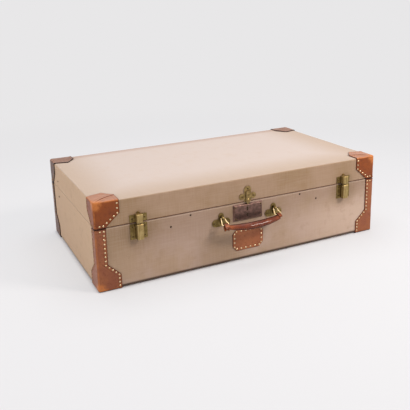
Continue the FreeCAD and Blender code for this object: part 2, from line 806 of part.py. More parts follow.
def stay_base_link():
    """Right base link, with the knee stud that the lid link turns on."""
    hole = rod(0, half_length, stay_base_y, stay_base_z, rivet_shank / 2 + pin_clearance)
    link = stay_link(base_link_x, stay_base_y, stay_base_z, knee_y, knee_z).cut(hole)
    knee = rod(head_x, base_link_x, knee_y, knee_z, rivet_shank / 2)
    head = rod(head_x - stay_head_thick, head_x, knee_y, knee_z, stay_head / 2)
    return link.fuse([knee, head]).removeSplitter()


def stay_lid_link():
    """Right lid link, with a hole at each end."""
    link = stay_link(lid_link_x, stay_lid_y, stay_lid_z, knee_y, knee_z)
    for y, z in ((stay_lid_y, stay_lid_z), (knee_y, knee_z)):
        link = link.cut(rod(0, half_length, y, z, rivet_shank / 2 + pin_clearance))
    return link


def stay_pivot(y, z, link_x):
    """Rivet through the right wall that carries a link between a collar and an inner head."""
    seat = half_length - leather
    rivet = place(stud(rivet_head, rivet_rise, rivet_shank, seat - link_x), V(seat, y, z), V(1, 0, 0))
    shank = rod(link_x - stay_thick - stay_gap, link_x, y, z, rivet_shank / 2)
    head = rod(link_x - stay_thick - stay_gap - stay_head_thick, link_x - stay_thick - stay_gap, y, z,
               stay_head / 2)
    collar = rod(link_x + stay_gap / 2, lined_x, y, z, stay_head / 2)
    return rivet.fuse([shank, head, collar]).removeSplitter()


def nailed(places, outward):
    """Brass nails at each place."""
    nail = stud(nail_head, nail_rise, nail_shank, nail_length)
    return [place(nail, point, outward) for point in places]


def build():
    """Make every piece and name it."""
    boards("base", leather + canvas, base_edge - canvas, "bottom", False)
    boards("lid", lid_edge + canvas, case_height - leather - canvas, "top", True)
    pocket = lock_pocket()
    parts["base_front_board"] = parts["base_front_board"].cut(pocket)
    parts["base_canvas"] = covering(0, base_edge, base_edge, -canvas).cut(pocket)
    parts["lid_canvas"] = covering(lid_edge, case_height, lid_edge, canvas)
    parts["base_lining"] = cloth_lining(floor_z, base_edge - canvas, True)
    parts["lid_lining"] = cloth_lining(lid_edge + canvas, ceiling_z, False)
    parts["base_rim_strips"] = rim()

    lid_tacks, base_tacks = leather_corners()
    base_tacks += name_patch()
    parts["lid_tacks"] = Part.makeCompound(lid_tacks)
    parts["base_tacks"] = Part.makeCompound(base_tacks)

    parts["lock_plate"], base_nails = lock_plate()
    parts["lock_case"] = lock_case()
    parts["lock_bolt"] = lock_bolt()
    parts["lock_catch"], lid_nails = lock_catch()

    back_base_nails = []
    back_lid_nails = []
    for name, side in (("left", -1), ("right", 1)):
        x = fittings_x + side * mount_spread / 2
        parts[f"handle_mount_{name}"], nails = handle_mount(x)
        base_nails += nails
        parts[f"handle_ring_{name}"] = handle_ring(x)

        x = side * (half_length - latch_from_end)
        parts[f"latch_base_plate_{name}"], nails = latch_base_plate(x)
        base_nails += nails
        parts[f"latch_pin_{name}"] = latch_pin_rod(x)
        parts[f"latch_lever_{name}"] = latch_lever(x)
        parts[f"latch_lid_plate_{name}"], nails = latch_lid_plate(x)
        lid_nails += nails
        parts[f"latch_keeper_{name}"] = latch_keeper(x)

        x = side * (half_length - hinge_from_end)
        parts[f"hinge_base_leaf_{name}"], nails = hinge_leaf_solid(x, False)
        back_base_nails += nails
        parts[f"hinge_lid_leaf_{name}"], nails = hinge_leaf_solid(x, True)
        back_lid_nails += nails
        half = hinge_width / 2
        parts[f"hinge_pin_{name}"] = rod(x - half, x + half, hinge_y, seam_height, hinge_pin / 2)
    parts["handle_grip"] = handle_grip()

    front, back = V(0, -1, 0), V(0, 1, 0)
    parts["base_nails"] = Part.makeCompound(nailed(base_nails, front) + nailed(back_base_nails, back))
    parts["lid_nails"] = Part.makeCompound(nailed(lid_nails, front) + nailed(back_lid_nails, back))

    parts["stay_base_link_right"] = stay_base_link()
    parts["stay_lid_link_right"] = stay_lid_link()
    for link in ("base", "lid"):
        parts[f"stay_{link}_link_left"] = mirrored(parts[f"stay_{link}_link_right"])
    base_pivot = stay_pivot(stay_base_y, stay_base_z, base_link_x)
    lid_pivot = stay_pivot(stay_lid_y, stay_lid_z, lid_link_x)
    rivet = stud(rivet_head, rivet_rise, rivet_shank, wall)
    wall_rivets = [place(rivet, V(fittings_x + side * x, front_y, seam_height - drop), front)
                   for x, drop in front_rivets for side in (-1, 1)]
    parts["base_rivets"] = Part.makeCompound([base_pivot, mirrored(base_pivot)] + wall_rivets)
    parts["lid_rivets"] = Part.makeCompound([lid_pivot, mirrored(lid_pivot)])


build()
os.makedirs("parts", exist_ok=True)
for node, shape in parts.items():
    shape.exportStep(f"parts/{node}.step")
    print(f"{node}: {len(shape.Solids)} solid(s), {shape.Volume:.1f} mm3")
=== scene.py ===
"""Finish of the canvas suitcase: its soft coverings as modelled sheets, and a material on every piece.

Lengths are in metres in the shared frame; a size written in millimetres is multiplied by mm. The front faces
-Y, X runs along it from left to right, and the case stands on z = 0.
"""
import json
import math

import bmesh
import bpy
from mathutils import Matrix, Vector, kdtree, noise
from mathutils.geometry import delaunay_2d_cdt


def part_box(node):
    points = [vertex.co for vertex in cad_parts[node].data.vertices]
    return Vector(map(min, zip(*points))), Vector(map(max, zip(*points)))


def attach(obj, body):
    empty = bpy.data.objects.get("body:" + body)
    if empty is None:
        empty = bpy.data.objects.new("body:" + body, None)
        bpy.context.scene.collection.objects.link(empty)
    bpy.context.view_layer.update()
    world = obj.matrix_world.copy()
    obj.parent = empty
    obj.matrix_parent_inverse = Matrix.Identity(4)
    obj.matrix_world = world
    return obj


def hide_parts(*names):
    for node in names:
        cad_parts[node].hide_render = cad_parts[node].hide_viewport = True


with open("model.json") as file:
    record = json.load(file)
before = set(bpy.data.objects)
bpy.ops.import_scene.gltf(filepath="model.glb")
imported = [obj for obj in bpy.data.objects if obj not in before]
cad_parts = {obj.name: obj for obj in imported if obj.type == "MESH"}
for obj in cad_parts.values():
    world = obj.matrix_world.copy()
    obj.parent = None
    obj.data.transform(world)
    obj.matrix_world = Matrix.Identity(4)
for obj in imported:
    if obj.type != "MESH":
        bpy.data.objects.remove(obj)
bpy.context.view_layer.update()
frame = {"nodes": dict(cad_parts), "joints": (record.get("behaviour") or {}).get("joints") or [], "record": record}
nodes = frame["nodes"]
mm = 0.001

# Planes of the case, from the frame
leather_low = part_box("base_corner_front_left")[0]
leather_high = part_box("lid_corner_back_right")[1]
canvas_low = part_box("base_canvas")[0]
canvas_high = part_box("lid_canvas")[1]
middle_y = (leather_low.y + leather_high.y) / 2
lid_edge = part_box("lid_canvas")[0].z
base_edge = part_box("base_canvas")[1].z

# Edges of the case under the leather, and the sheets that cover it
upright_radius = 7.5 * mm
flat_radius = 4 * mm
wall = 8 * mm
canvas_sheet = 0.8 * mm
canvas_roll = 1.2 * mm
canvas_step = 8 * mm
canvas_wave = 0.35 * mm
canvas_wave_length = 70 * mm
canvas_wave_seeds = {"lid": 1.7, "base": 4.1}
lining_sheet = 0.7 * mm
lining_roll = 3 * mm
lining_wave_seeds = {"lid": 6.3, "base": 8.9}
glue_line = 0.001 * mm
weld = 0.05 * mm

# Leather corners: how far they reach along the front and the side, and the heights of their bends
leather = 2 * mm
leather_upright_radius = 5.5 * mm
leather_flat_radius = 3.6 * mm
lid_front_flap = 57 * mm
lid_side_flap = 50 * mm
lid_shoulder = 30 * mm
strip_width = 24.5 * mm
foot_flap = 53 * mm
foot_height = 34 * mm
flare_height = 61 * mm
mitre_depth = 32 * mm
tip_along = 36 * mm
tip_depth = 60 * mm
leather_step = 2.2 * mm
leather_lift = 0.5 * mm
leather_swell = 0.25 * mm
leather_swell_length = 14 * mm
curl_reach_mm = 4
tack_weld = 0.01 * mm
tack_grip = 3 * mm
tack_reach = 7 * mm
corner_rub_core = 4 * mm
corner_rub_reach = 36 * mm
edge_rub_reach = 5 * mm
fold_rise = 1.1 * mm
fold_half_width = 0.4 * mm
fold_crest = 3 * mm
fold_slope = 22 * mm
fold_fade = 0.6 * mm
cut_edge_round = 0.6 * mm
patch_clip = 10 * mm

# Carrying handle, modelled hanging straight down from its axis
handle_tilt = math.radians(54)
grip_length = 148 * mm
grip_end_drop = 25 * mm
grip_mid_drop = 34 * mm
grip_end_tall = 10 * mm
grip_mid_tall = 17.5 * mm
grip_end_thick = 7.5 * mm
grip_mid_thick = 14 * mm
grip_ridge = 1.2 * mm
grip_lump = 0.25 * mm
grip_lump_length = 6 * mm
loop_spread = 142 * mm
loop_width = 10 * mm
loop_tail_width = 12 * mm
loop_notch = 3.5 * mm
loop_long_tail = 10 * mm
loop_short_tail = 5.5 * mm
loop_leather = 1.9 * mm
ring_drop = 19 * mm
ring_wire = 3.4 * mm
stitch_length = 3.2 * mm
stitch_pitch = 4.6 * mm
thread_radius = 0.45 * mm
# A stitch from end to end: share of its length, and rise and size in radii of the thread
stitch_line = ((0.0, -0.9, 0.7), (0.12, 0.1, 1.0), (0.5, 0.45, 1.0), (0.88, 0.1, 1.0), (1.0, -0.9, 0.7))

# Metal fittings: the rounding of their edges, and how far in these are worn bright
metal_weld = 0.005 * mm
metal_edge_round = 0.4 * mm
metal_worn_edge = 1.0 * mm


def linear(code):
    """Linear colour of an sRGB hex code."""
    parts = [int(code[i:i + 2], 16) / 255 for i in (1, 3, 5)]
    return [p / 12.92 if p <= 0.04045 else ((p + 0.055) / 1.055) ** 2.4 for p in parts] + [1.0]


def smooth(value, low, high):
    """Share from 0 at low to 1 at high, easing at both ends."""
    t = min(1.0, max(0.0, (value - low) / (high - low)))
    return t * t * (3 - 2 * t)


# Sheets laid on the case


class RoundedBox:
    """One half of the case, with rounded edges, that sheets are laid on; points are given on the sharp box.

    rise is 1 where the half stands up from its flat face, and -1 where it hangs down from it.
    """

    def __init__(self, half_x, half_y, flat_z, rise, upright, flat):
        self.half_x = half_x
        self.half_y = half_y
        self.flat_z = flat_z
        self.rise = rise
        self.upright = upright
        self.flat = flat

    def round(self, x, y, z):
        """Moves a point of the sharp box on to the rounded one."""
        in_x = self.half_x - abs(x)
        in_y = self.half_y - abs(y - middle_y)
        inset = near = max(0.0, min(in_x, in_y))
        along = max(in_x, in_y)
        sink = depth = (z - self.flat_z) * self.rise
        r = self.flat
        if near < r and depth < r:
            on_wall = near < glue_line
            angle = math.atan2(r - depth, r) if on_wall else math.pi / 2 - math.atan2(r - near, r)
            inset = r - r * math.cos(angle)
            sink = r - r * math.sin(angle)
            if along < r:
                along = inset + (along - near) * (r - inset) / (r - near)
        if along < self.upright and inset < self.upright:
            arm = Vector((along - self.upright, inset - self.upright))
            arm *= (self.upright - inset) / arm.length
            along = self.upright + arm.x
            inset = self.upright + arm.y
        if in_x <= in_y:
            in_x, in_y = inset, along
        else:
            in_x, in_y = along, inset
        return Vector((math.copysign(self.half_x - in_x, x),
                       middle_y + math.copysign(self.half_y - in_y, y - middle_y),
                       self.flat_z + self.rise * sink))


def lines(low, high, step, fine_low=True, fine_high=True):
    """Places from low to high, a step apart, and close together where the box's edge is rounded."""
    close = [0, 0.7, 1.4, 2.1, 2.8, 3.4, 4, 5, 6, 7.5, 9.5, 12.5]
    start = [low + c * mm for c in close] if fine_low else [low]
    end = [high - c * mm for c in reversed(close)] if fine_high else [high]
    count = max(1, round((end[0] - start[-1]) / step))
    between = [start[-1] + (end[0] - start[-1]) * i / count for i in range(1, count)]
    return start + between + end


def grid(mesh, lines_a, lines_b, place):
    """Adds a grid of quads to the mesh; place(a, b) gives a corner's point."""
    rows = [[mesh.verts.new(place(a, b)) for b in lines_b] for a in lines_a]
    for low, high in zip(rows, rows[1:]):
        for i in range(len(lines_b) - 1):
            mesh.faces.new((low[i], low[i + 1], high[i + 1], high[i]))


def join_sheet(mesh, centre, inward=False):
    """Welds the faces of a sheet where they meet, and turns all of them away from a centre, or towards it."""
    bmesh.ops.remove_doubles(mesh, verts=mesh.verts, dist=weld)
    bmesh.ops.dissolve_degenerate(mesh, edges=mesh.edges, dist=weld)
    bmesh.ops.recalc_face_normals(mesh, faces=mesh.faces)
    away = sum(face.calc_area() * face.normal.dot(face.calc_center_median() - centre) for face in mesh.faces)
    if (away < 0) != inward:
        bmesh.ops.reverse_faces(mesh, faces=mesh.faces)
    mesh.normal_update()


def piece(name, mesh, material, body, slot, *replaced):
    """Object from a finished mesh, with its material, the body it moves with and the nodes it stands for."""
    data = bpy.data.meshes.new(name)
    mesh.to_mesh(data)
    mesh.free()
    data.polygons.foreach_set("use_smooth", [True] * len(data.polygons))
    data.materials.append(material)
    made = bpy.data.objects.new(name, data)
    bpy.context.scene.collection.objects.link(made)
    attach(made, body)
    if replaced:
        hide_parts(*replaced)
    return made


def round_edges(made, width, segments, angle):
    """Rounds the edges of a piece that are sharper than an angle in degrees."""
    edge = made.modifiers.new("rounded_edges", "BEVEL")
    edge.width = width
    edge.segments = segments
    edge.limit_method = "ANGLE"
    edge.angle_limit = math.radians(angle)


def thicken(made, thickness, roll, segments=3, way=-1):
    """Gives a sheet its thickness, inward from its face, and rounds its cut edges."""
    solid = made.modifiers.new("thickness", "SOLIDIFY")
    solid.thickness = thickness
    solid.offset = way
    round_edges(made, roll, segments, 50)


def wave_out(mesh, height, length, seed):
    """Pushes a sheet's points out by a slow, uneven wave."""
    shift = Vector((seed, 2 * seed, 3 * seed))
    for vert in mesh.verts:
        swell = 0.5 + 0.5 * noise.noise(vert.co / length + shift)
        vert.co += vert.normal * height * swell


def lay_cloth(mesh, box, edge, step):
    """Lays a sheet over the flat face and the four walls of a half of the case, up to its open edge."""
    xs = lines(-box.half_x, box.half_x, step)
    ys = lines(-box.half_y, box.half_y, step)
    zs = lines(min(edge, box.flat_z), max(edge, box.flat_z), step, box.rise > 0, box.rise < 0)
    grid(mesh, xs, ys, lambda x, y: box.round(x, middle_y + y, box.flat_z))
    for side in (-1, 1):
        grid(mesh, xs, zs, lambda x, z: box.round(x, middle_y + side * box.half_y, z))
        grid(mesh, ys, zs, lambda y, z: box.round(side * box.half_x, middle_y + y, z))
    return xs, ys


def declare_cloth(level, edge):
    """Lists the boards under a glued cloth, a cross of one flat face and four walls with a turned-in rim; the list
    is not kept.
    """
    boards = [f"{level}_{side}_board" for side in ("front", "back", "left", "right")]
    boards.append("lid_top_board" if level == "lid" else "base_bottom_board")


def canvas_cover(level, material):
    """Canvas glued over one half of the case and turned in over the edges of its walls."""
    lid = level == "lid"
    edge, flat_z, rise = (lid_edge, canvas_high.z, -1) if lid else (base_edge, canvas_low.z, 1)
    half_x = canvas_high.x
    half_y = canvas_high.y - middle_y
    box = RoundedBox(half_x, half_y, flat_z, rise, upright_radius, flat_radius)
    rim = RoundedBox(half_x, half_y, edge, rise, upright_radius, 0.0)
    mesh = bmesh.new()
    xs, ys = lay_cloth(mesh, box, edge, canvas_step)
    insets = [wall * i / 3 for i in range(4)]
    for side in (-1, 1):
        grid(mesh, xs, insets, lambda x, d: rim.round(
            max(d - half_x, min(half_x - d, x)), middle_y + side * (half_y - d), edge))
        grid(mesh, ys, insets, lambda y, d: rim.round(
            side * (half_x - d), middle_y + max(d - half_y, min(half_y - d, y)), edge))
    join_sheet(mesh, Vector((0, middle_y, (edge + flat_z) / 2)))
    wave_out(mesh, canvas_wave, canvas_wave_length, canvas_wave_seeds[level])
    made = piece(f"{level}_canvas_cover", mesh, material, level, "canvas", f"{level}_canvas")
    declare_cloth(level, edge)
    thicken(made, canvas_sheet, canvas_roll)


def lining_cloth(level, material):
    """Cloth pasted to the inside of one half of the case."""
    lid = level == "lid"
    low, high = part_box(f"{level}_lining")
    edge, flat_z, rise = (low.z, high.z - lining_sheet, -1) if lid else (high.z, low.z + lining_sheet, 1)
    half_x = high.x - lining_sheet
    half_y = high.y - middle_y - lining_sheet
    box = RoundedBox(half_x, half_y, flat_z, rise, lining_roll, lining_roll)
    mesh = bmesh.new()
    lay_cloth(mesh, box, edge, canvas_step)
    join_sheet(mesh, Vector((0, middle_y, (edge + flat_z) / 2)), inward=True)
    wave_out(mesh, canvas_wave, canvas_wave_length / 2, lining_wave_seeds[level])
    made = piece(f"{level}_lining_cloth", mesh, material, level, "lining", f"{level}_lining")
    declare_cloth(level, edge)
    thicken(made, lining_sheet, lining_sheet / 3, 2)


# Leather


def spaced(points, step):
    """Points along a line of points, about a step apart, the last one left out."""
    path = []
    for a, b in zip(points, points[1:]):
        count = max(1, round((b - a).length / step))
        path += [a.lerp(b, i / count) for i in range(count)]
    return path


def gap_to(point, path):
    """Least distance from a point to a line of points."""
    least = 1.0
    for a, b in zip(path, path[1:]):
        span = b - a
        t = min(1.0, max(0.0, (point - a).dot(span) / span.length_squared))
        least = min(least, (point - a - span * t).length)
    return least


def within(point, outline):
    """Whether a point lies inside a closed outline."""
    inside = False
    for a, b in zip(outline, outline[1:] + outline[:1]):
        if (a.y > point.y) != (b.y > point.y):
            if point.x < a.x + (b.x - a.x) * (point.y - a.y) / (b.y - a.y):
                inside = not inside
    return inside


def cut_leather(mesh, shared, free, lines_a, lines_b, place, fold=()):
    """Adds one flap, from its edges shared with other flaps, its free edge and how it lies on the case."""
    gap_layer = mesh.verts.layers.float["edge_gap"]
    outline = shared + spaced(free, leather_step)
    closed = outline + outline[:1]
    points = list(outline)
    edges = []
    creases = [beside(fold, side * fold_half_width) for side in (-1, 1)] if fold else []
    for crease in creases:
        first = len(points)
        points += crease
        edges += [(i, i + 1) for i in range(first, len(points) - 1)]
    room = 0.3 * leather_step
    for a in lines_a:
        for b in lines_b:
            point = Vector((a, b))
            if within(point, outline) and all(gap_to(point, path) > room for path in [closed] + creases):
                points.append(point)
    corners, _, faces, _, _, _ = delaunay_2d_cdt(points, edges, [list(range(len(outline)))], 1, 1e-7)
    verts = []
    for corner in corners:
        vert = mesh.verts.new(place(corner.x, corner.y))
        vert[gap_layer] = gap_to(corner, free) / mm
        if fold:
            vert[gap_layer] = min(vert[gap_layer], (gap_to(corner, fold) + fold_fade) / mm)
        verts.append(vert)
    for face in faces:
        mesh.faces.new([verts[i] for i in face])


def fold_line():
    """Edge of the flat flap where it laps over the front one, in places on the flat face."""
    start, bow, end = Vector((7 * mm, 4 * mm)), Vector((32 * mm, 27 * mm)), Vector((56 * mm, 31 * mm))
    count = 24
    return [start.lerp(bow, i / count).lerp(bow.lerp(end, i / count), i / count) for i in range(count + 1)]


def beside(path, shift):
    """Copy of a line of points, moved sideways, with its ends a little short."""
    moved = []
    for a, b in zip(path[1:-1], path[2:]):
        moved.append(a + (b - a).orthogonal().normalized() * shift)
    return moved


def fold_height(place, fold):
    """How much the flat flap stands up where its edge laps over the turned-down front flap."""
    nearest = min(range(len(fold)), key=lambda i: (fold[i] - place).length)
    ahead = fold[min(nearest + 1, len(fold) - 1)] - fold[max(nearest - 1, 0)]
    gap = gap_to(place, fold) * math.copysign(1, ahead.cross(place - fold[nearest]))
    along = smooth(nearest / (len(fold) - 1), 0.0, 0.3)
    lap = smooth(gap, -fold_half_width, fold_half_width) * smooth(gap, fold_slope, fold_crest)
    return fold_rise * along * lap


def tack_heads(*names):
    """Finder for the tacks, from the separate solids in the frame's tack nodes."""
    heads = []
    for name in names:
        mesh = bmesh.new()
        mesh.from_mesh(nodes[name].data)
        bmesh.ops.remove_doubles(mesh, verts=mesh.verts, dist=tack_weld)
        mesh.verts.index_update()
        done = set()
        for first in mesh.verts:
            if first in done:
                continue
            island = rim = {first}
            while rim:
                rim = {edge.other_vert(vert) for vert in rim for edge in vert.link_edges} - island
                island = island | rim
            done |= island
            # Added up in the mesh's order, so that every run gives the same sum
            ordered = sorted(island, key=lambda vert: vert.index)
            heads.append(sum((vert.co for vert in ordered), Vector()) / len(ordered))
        mesh.free()
    tree = kdtree.KDTree(len(heads))
    for i, head in enumerate(heads):
        tree.insert(head, i)
    tree.balance()
    return tree


def dress_leather(mesh, tacks, wear_of, age):
    """Lifts the free edges of a leather sheet between its tacks, and stores what its colour follows."""
    gap_layer = mesh.verts.layers.float["edge_gap"]
    wear_layer = mesh.verts.layers.float.new("wear")
    age_layer = mesh.verts.layers.float.new("age")
    moves = []
    for vert in mesh.verts:
        to_tack = tacks.find(vert.co)[2]
        curl = math.exp(-(vert[gap_layer] / curl_reach_mm) ** 2) * smooth(to_tack, tack_grip, tack_reach)
        swell = noise.noise(vert.co / leather_swell_length)
        moves.append(vert.normal * (leather_lift * curl + leather_swell * swell))
        vert[wear_layer] = wear_of(vert.co)
        vert[age_layer] = age
    for vert, move in zip(mesh.verts, moves):
        vert.co += move
        vert.co.z = max(vert.co.z, leather_low.z)


def leather_corner(level, name, side_x, side_y, age, rub, tacks, material):
    """One corner: a front flap, a side flap and a flat flap, wrapped round the case in one piece."""
    lid = level == "lid"
    node = f"{level}_corner_{name}"
    low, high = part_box(node)
    edge, flat_z, rise = (low.z, high.z, -1) if lid else (high.z, low.z, 1)
    half_x = leather_high.x
    half_y = leather_high.y - middle_y
    box = RoundedBox(half_x, half_y, flat_z, rise, leather_upright_radius, leather_flat_radius)
    front_flap, side_flap = (lid_front_flap, lid_side_flap) if lid else (foot_flap, foot_flap)
    fold = fold_line() if lid else ()

    def wall_edge(flap):
        """Free edge from the flat face round to the seam, as distance from the corner and height."""
        if lid:
            bends = [(flap, flat_z), (flap, flat_z - lid_shoulder), (strip_width, edge), (0, edge)]
        else:
            bends = [(flap, flat_z), (flap, foot_height), (strip_width, flare_height), (strip_width, edge),
                     (0, edge)]
        return [Vector(bend) for bend in bends]

    def on_front(u, z):
        return box.round(side_x * (half_x - u), middle_y + side_y * half_y, z)

    def on_side(v, z):
        return box.round(side_x * half_x, middle_y + side_y * (half_y - v), z)

    def on_flat(u, v):
        point = box.round(side_x * (half_x - u), middle_y + side_y * (half_y - v), flat_z)
        if lid:
            point.z += fold_height(Vector((u, v)), fold)
        return point

    flat_edge = [Vector(bend) for bend in ((front_flap, 0), (front_flap, mitre_depth), (tip_along, tip_depth),
                                           (0, side_flap))]
    us = lines(0, front_flap, leather_step, True, False)
    vs = lines(0, side_flap, leather_step, True, False)
    zs = lines(min(edge, flat_z), max(edge, flat_z), leather_step, not lid, lid)
    rising = sorted(zs, key=lambda z: abs(z - edge))
    upright = [Vector((0, z)) for z in rising[:-1]]
    mesh = bmesh.new()
    mesh.verts.layers.float.new("edge_gap")
    for spans, flap, place in ((us, front_flap, on_front), (vs, side_flap, on_side)):
        shared = upright + [Vector((span, flat_z)) for span in spans[:-1]]
        cut_leather(mesh, shared, wall_edge(flap), spans, zs, place)
    shared = [Vector((0, v)) for v in vs[:0:-1]] + [Vector((u, 0)) for u in us[:-1]]
    cut_leather(mesh, shared, flat_edge, us, lines(0, tip_depth, leather_step, True, False), on_flat, fold)
    join_sheet(mesh, Vector((0, middle_y, (lid_edge + base_edge) / 2)))
    tip = Vector((side_x * half_x, middle_y + side_y * half_y, flat_z))

    def wear_of(point):
        """Rubbed at the case's own corner, and less so along the three edges that meet there."""
        away = sorted(abs(d) for d in point - tip)
        at_edge = math.exp(-(math.hypot(away[0], away[1]) / edge_rub_reach) ** 2)
        at_tip = smooth((point - tip).length, corner_rub_reach, corner_rub_core)
        return rub * max(at_tip, 0.7 * at_edge)

    dress_leather(mesh, tacks, wear_of, age)
    made = piece(f"{level}_leather_{name}", mesh, material, level, "corner_leather", node)
    thicken(made, leather, cut_edge_round)


def name_patch(tacks, material):
    """Leather patch with clipped corners, tacked to the front."""
    low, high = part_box("name_patch")
    mid_x = (low.x + high.x) / 2
    half = (high.x - low.x) / 2
    clip = patch_clip
    corners = [(-half + clip, low.z), (half - clip, low.z), (half, low.z + clip), (half, high.z - clip),
               (half - clip, high.z), (-half + clip, high.z), (-half, high.z - clip), (-half, low.z + clip)]
    free = [Vector(corner) for corner in corners + corners[:1]]
    mesh = bmesh.new()
    mesh.verts.layers.float.new("edge_gap")
    xs = lines(-half, half, leather_step, False, False)
    zs = lines(low.z, high.z, leather_step, False, False)
    cut_leather(mesh, [], free, xs, zs, lambda a, b: Vector((mid_x + a, low.y, b)))
    join_sheet(mesh, Vector((0, middle_y, (low.z + high.z) / 2)))
    dress_leather(mesh, tacks, lambda point: 0.2, 0.0)
    made = piece("name_patch_leather", mesh, material, "base", "corner_leather", "name_patch")
    thicken(made, leather, cut_edge_round)


# Carrying handle

axis = Vector(next(joint["pos_m"] for joint in frame["joints"] if joint["name"] == "handle_swing"))
hang = Matrix.Translation(axis) @ Matrix.Rotation(-handle_tilt, 4, "X")


def grip_half(share):
    """Drop, half height and half thickness of the grip, at a share of its half length."""
    full = 1 - share ** 2
    drop = grip_end_drop + (grip_mid_drop - grip_end_drop) * full
    tall = (grip_end_tall + (grip_mid_tall - grip_end_tall) * full) / 2
    thick = (grip_end_thick + (grip_mid_thick - grip_end_thick) * full) / 2
    return drop, tall, thick


def grip_point(share, turn, out=0.0):
    """Point of the grip's skin at a share of its half length and a turn round it, as the handle hangs."""
    drop, tall, thick = grip_half(share)
    end = max(0.0, (abs(share) - 0.94) / 0.06)
    close = math.sqrt(max(0.03, 1 - end ** 2))
    y = thick * close * math.copysign(abs(math.cos(turn)) ** 0.85, math.cos(turn))
    z = tall * close * math.copysign(abs(math.sin(turn)) ** 0.9, math.sin(turn))
    z -= grip_ridge * close * math.exp(-((turn - 1.5 * math.pi) / 0.16) ** 2)
    lump = grip_lump * noise.noise(Vector((share * 9, y / grip_lump_length, z / grip_lump_length)))
    around = Vector((0, y, z))
    return Vector((share * grip_length / 2, 0, -drop)) + around + around.normalized() * (lump + out)


def close_tube(mesh, rings):
    """Joins rings of points into a tube with closed ends."""
    count = len(rings[0])
    for a, b in zip(rings, rings[1:]):
        for k in range(count):
            n = (k + 1) % count
            mesh.faces.new((a[k], a[n], b[n], b[k]))
    mesh.faces.new(rings[0])
    mesh.faces.new(list(reversed(rings[-1])))


def handle_grip(material):
    """Rolled leather grip, thick in the middle, with a sewn ridge underneath."""
    spans = 64
    around = 40
    turns = [2 * math.pi * k / around for k in range(around)]
    mesh = bmesh.new()
    rings = []
    for i in range(spans + 1):
        share = math.sin(math.pi / 2 * (2 * i / spans - 1))
        rings.append([mesh.verts.new(hang @ grip_point(share, turn)) for turn in turns])
    close_tube(mesh, rings)
    bmesh.ops.recalc_face_normals(mesh, faces=mesh.faces)
    piece("handle_grip_leather", mesh, material, "handle", "handle_leather", "handle_grip")


def loop_path(tail):
    """Line of a strap round a ring's lower bar and down both sides of the grip's end, as depth and height."""
    reach = ring_wire / 2 + 0.3 * mm
    out = grip_end_thick / 2 + 0.4 * mm
    leg = [Vector((-out - 1.2 * mm, -grip_end_drop - tail)),
           Vector((-out - 0.2 * mm, -grip_end_drop - 4 * mm)),
           Vector((-out, -grip_end_drop + 2 * mm)),
           Vector((-reach - 0.6 * mm, -ring_drop - 3 * mm))]
    count = 12
    turns = [math.pi * i / count for i in range(count + 1)]
    bend = [Vector((-reach * math.cos(turn), -ring_drop + reach * math.sin(turn))) for turn in turns]
    back = [Vector((-p.x, p.y)) for p in reversed(leg)]
    back[-1].y += 2.5 * mm
    path = leg + bend + back
    return spaced(path, 1.2 * mm) + path[-1:]


def handle_loop(name, side, tail, tail_width, tail_notch, material):
    """Strap folded round a ring's lower bar, its two tails spreading out either side of the grip's end."""
    mid = side * loop_spread / 2
    across = [i / 6 - 0.5 for i in range(7)]

    def place(p, share):
        spread = smooth(-ring_drop - p.y, 1 * mm, 8 * mm)
        width = loop_width + (tail_width - loop_width) * spread
        notch = tail_notch * smooth(-grip_end_drop - p.y, 0.4 * tail, tail) * (1 - 2 * abs(share))
        return hang @ Vector((mid + share * width, p.x, p.y + notch))

    mesh = bmesh.new()
    grid(mesh, loop_path(tail), across, place)
    join_sheet(mesh, hang @ Vector((mid, 0, -ring_drop)))
    made = piece(f"handle_loop_{name}", mesh, material, "handle", "handle_leather")
    thicken(made, loop_leather, 0.5 * mm, way=1)


def stitch(mesh, start, end, out):
    """One stitch of thread that comes out of the leather, lies on it and goes in again."""
    sides = 6
    ahead = (end - start).normalized()
    beside_it = ahead.cross(out).normalized()
    turns = [2 * math.pi * k / sides for k in range(sides)]
    arms = [out * math.cos(turn) + beside_it * math.sin(turn) for turn in turns]
    rings = []
    for share, rise, size in stitch_line:
        centre = start.lerp(end, share) + out * rise * thread_radius
        rings.append([mesh.verts.new(centre + size * thread_radius * arm) for arm in arms])
    close_tube(mesh, rings)


def handle_stitching(material):
    """Linen thread along both sides of the grip's ridge and across the tails of its straps."""
    mesh = bmesh.new()
    reach = 0.8 * grip_length / 2
    count = int(2 * reach / stitch_pitch)
    for turn in (1.5 * math.pi - 0.42, 1.5 * math.pi + 0.42):
        for i in range(count):
            x = (i - (count - 1) / 2) * stitch_pitch
            start, end = (grip_point((x + s * stitch_length / 2) / (grip_length / 2), turn) for s in (-1, 1))
            share = x / (grip_length / 2)
            out = (grip_point(share, turn, mm) - grip_point(share, turn)).normalized()
            stitch(mesh, hang @ start, hang @ end, hang.to_3x3() @ out)
    face = grip_end_thick / 2 + 0.4 * mm + loop_leather
    for side in (-1, 1):
        for front in (-1, 1):
            for edge in (-1, 1):
                for i in range(2):
                    x = side * loop_spread / 2 + edge * 0.34 * loop_tail_width
                    z = -grip_end_drop - 1.2 * mm + i * 3.6 * mm
                    tops = [Vector((x, front * face, z + s * 1.2 * mm)) for s in (-1, 1)]
                    stitch(mesh, hang @ tops[0], hang @ tops[1], hang.to_3x3() @ Vector((0, front, 0)))
    bmesh.ops.recalc_face_normals(mesh, faces=mesh.faces)
    piece("handle_stitching", mesh, material, "handle", "handle_leather")


# Materials

eased = {"interpolation_type": "SMOOTHSTEP"}
tinted = {"data_type": "RGBA", "out": 2}
times = {"operation": "MULTIPLY"}
minus = {"operation": "SUBTRACT"}
times_plus = {"operation": "MULTIPLY_ADD"}
unsigned = {"operation": "ABSOLUTE"}


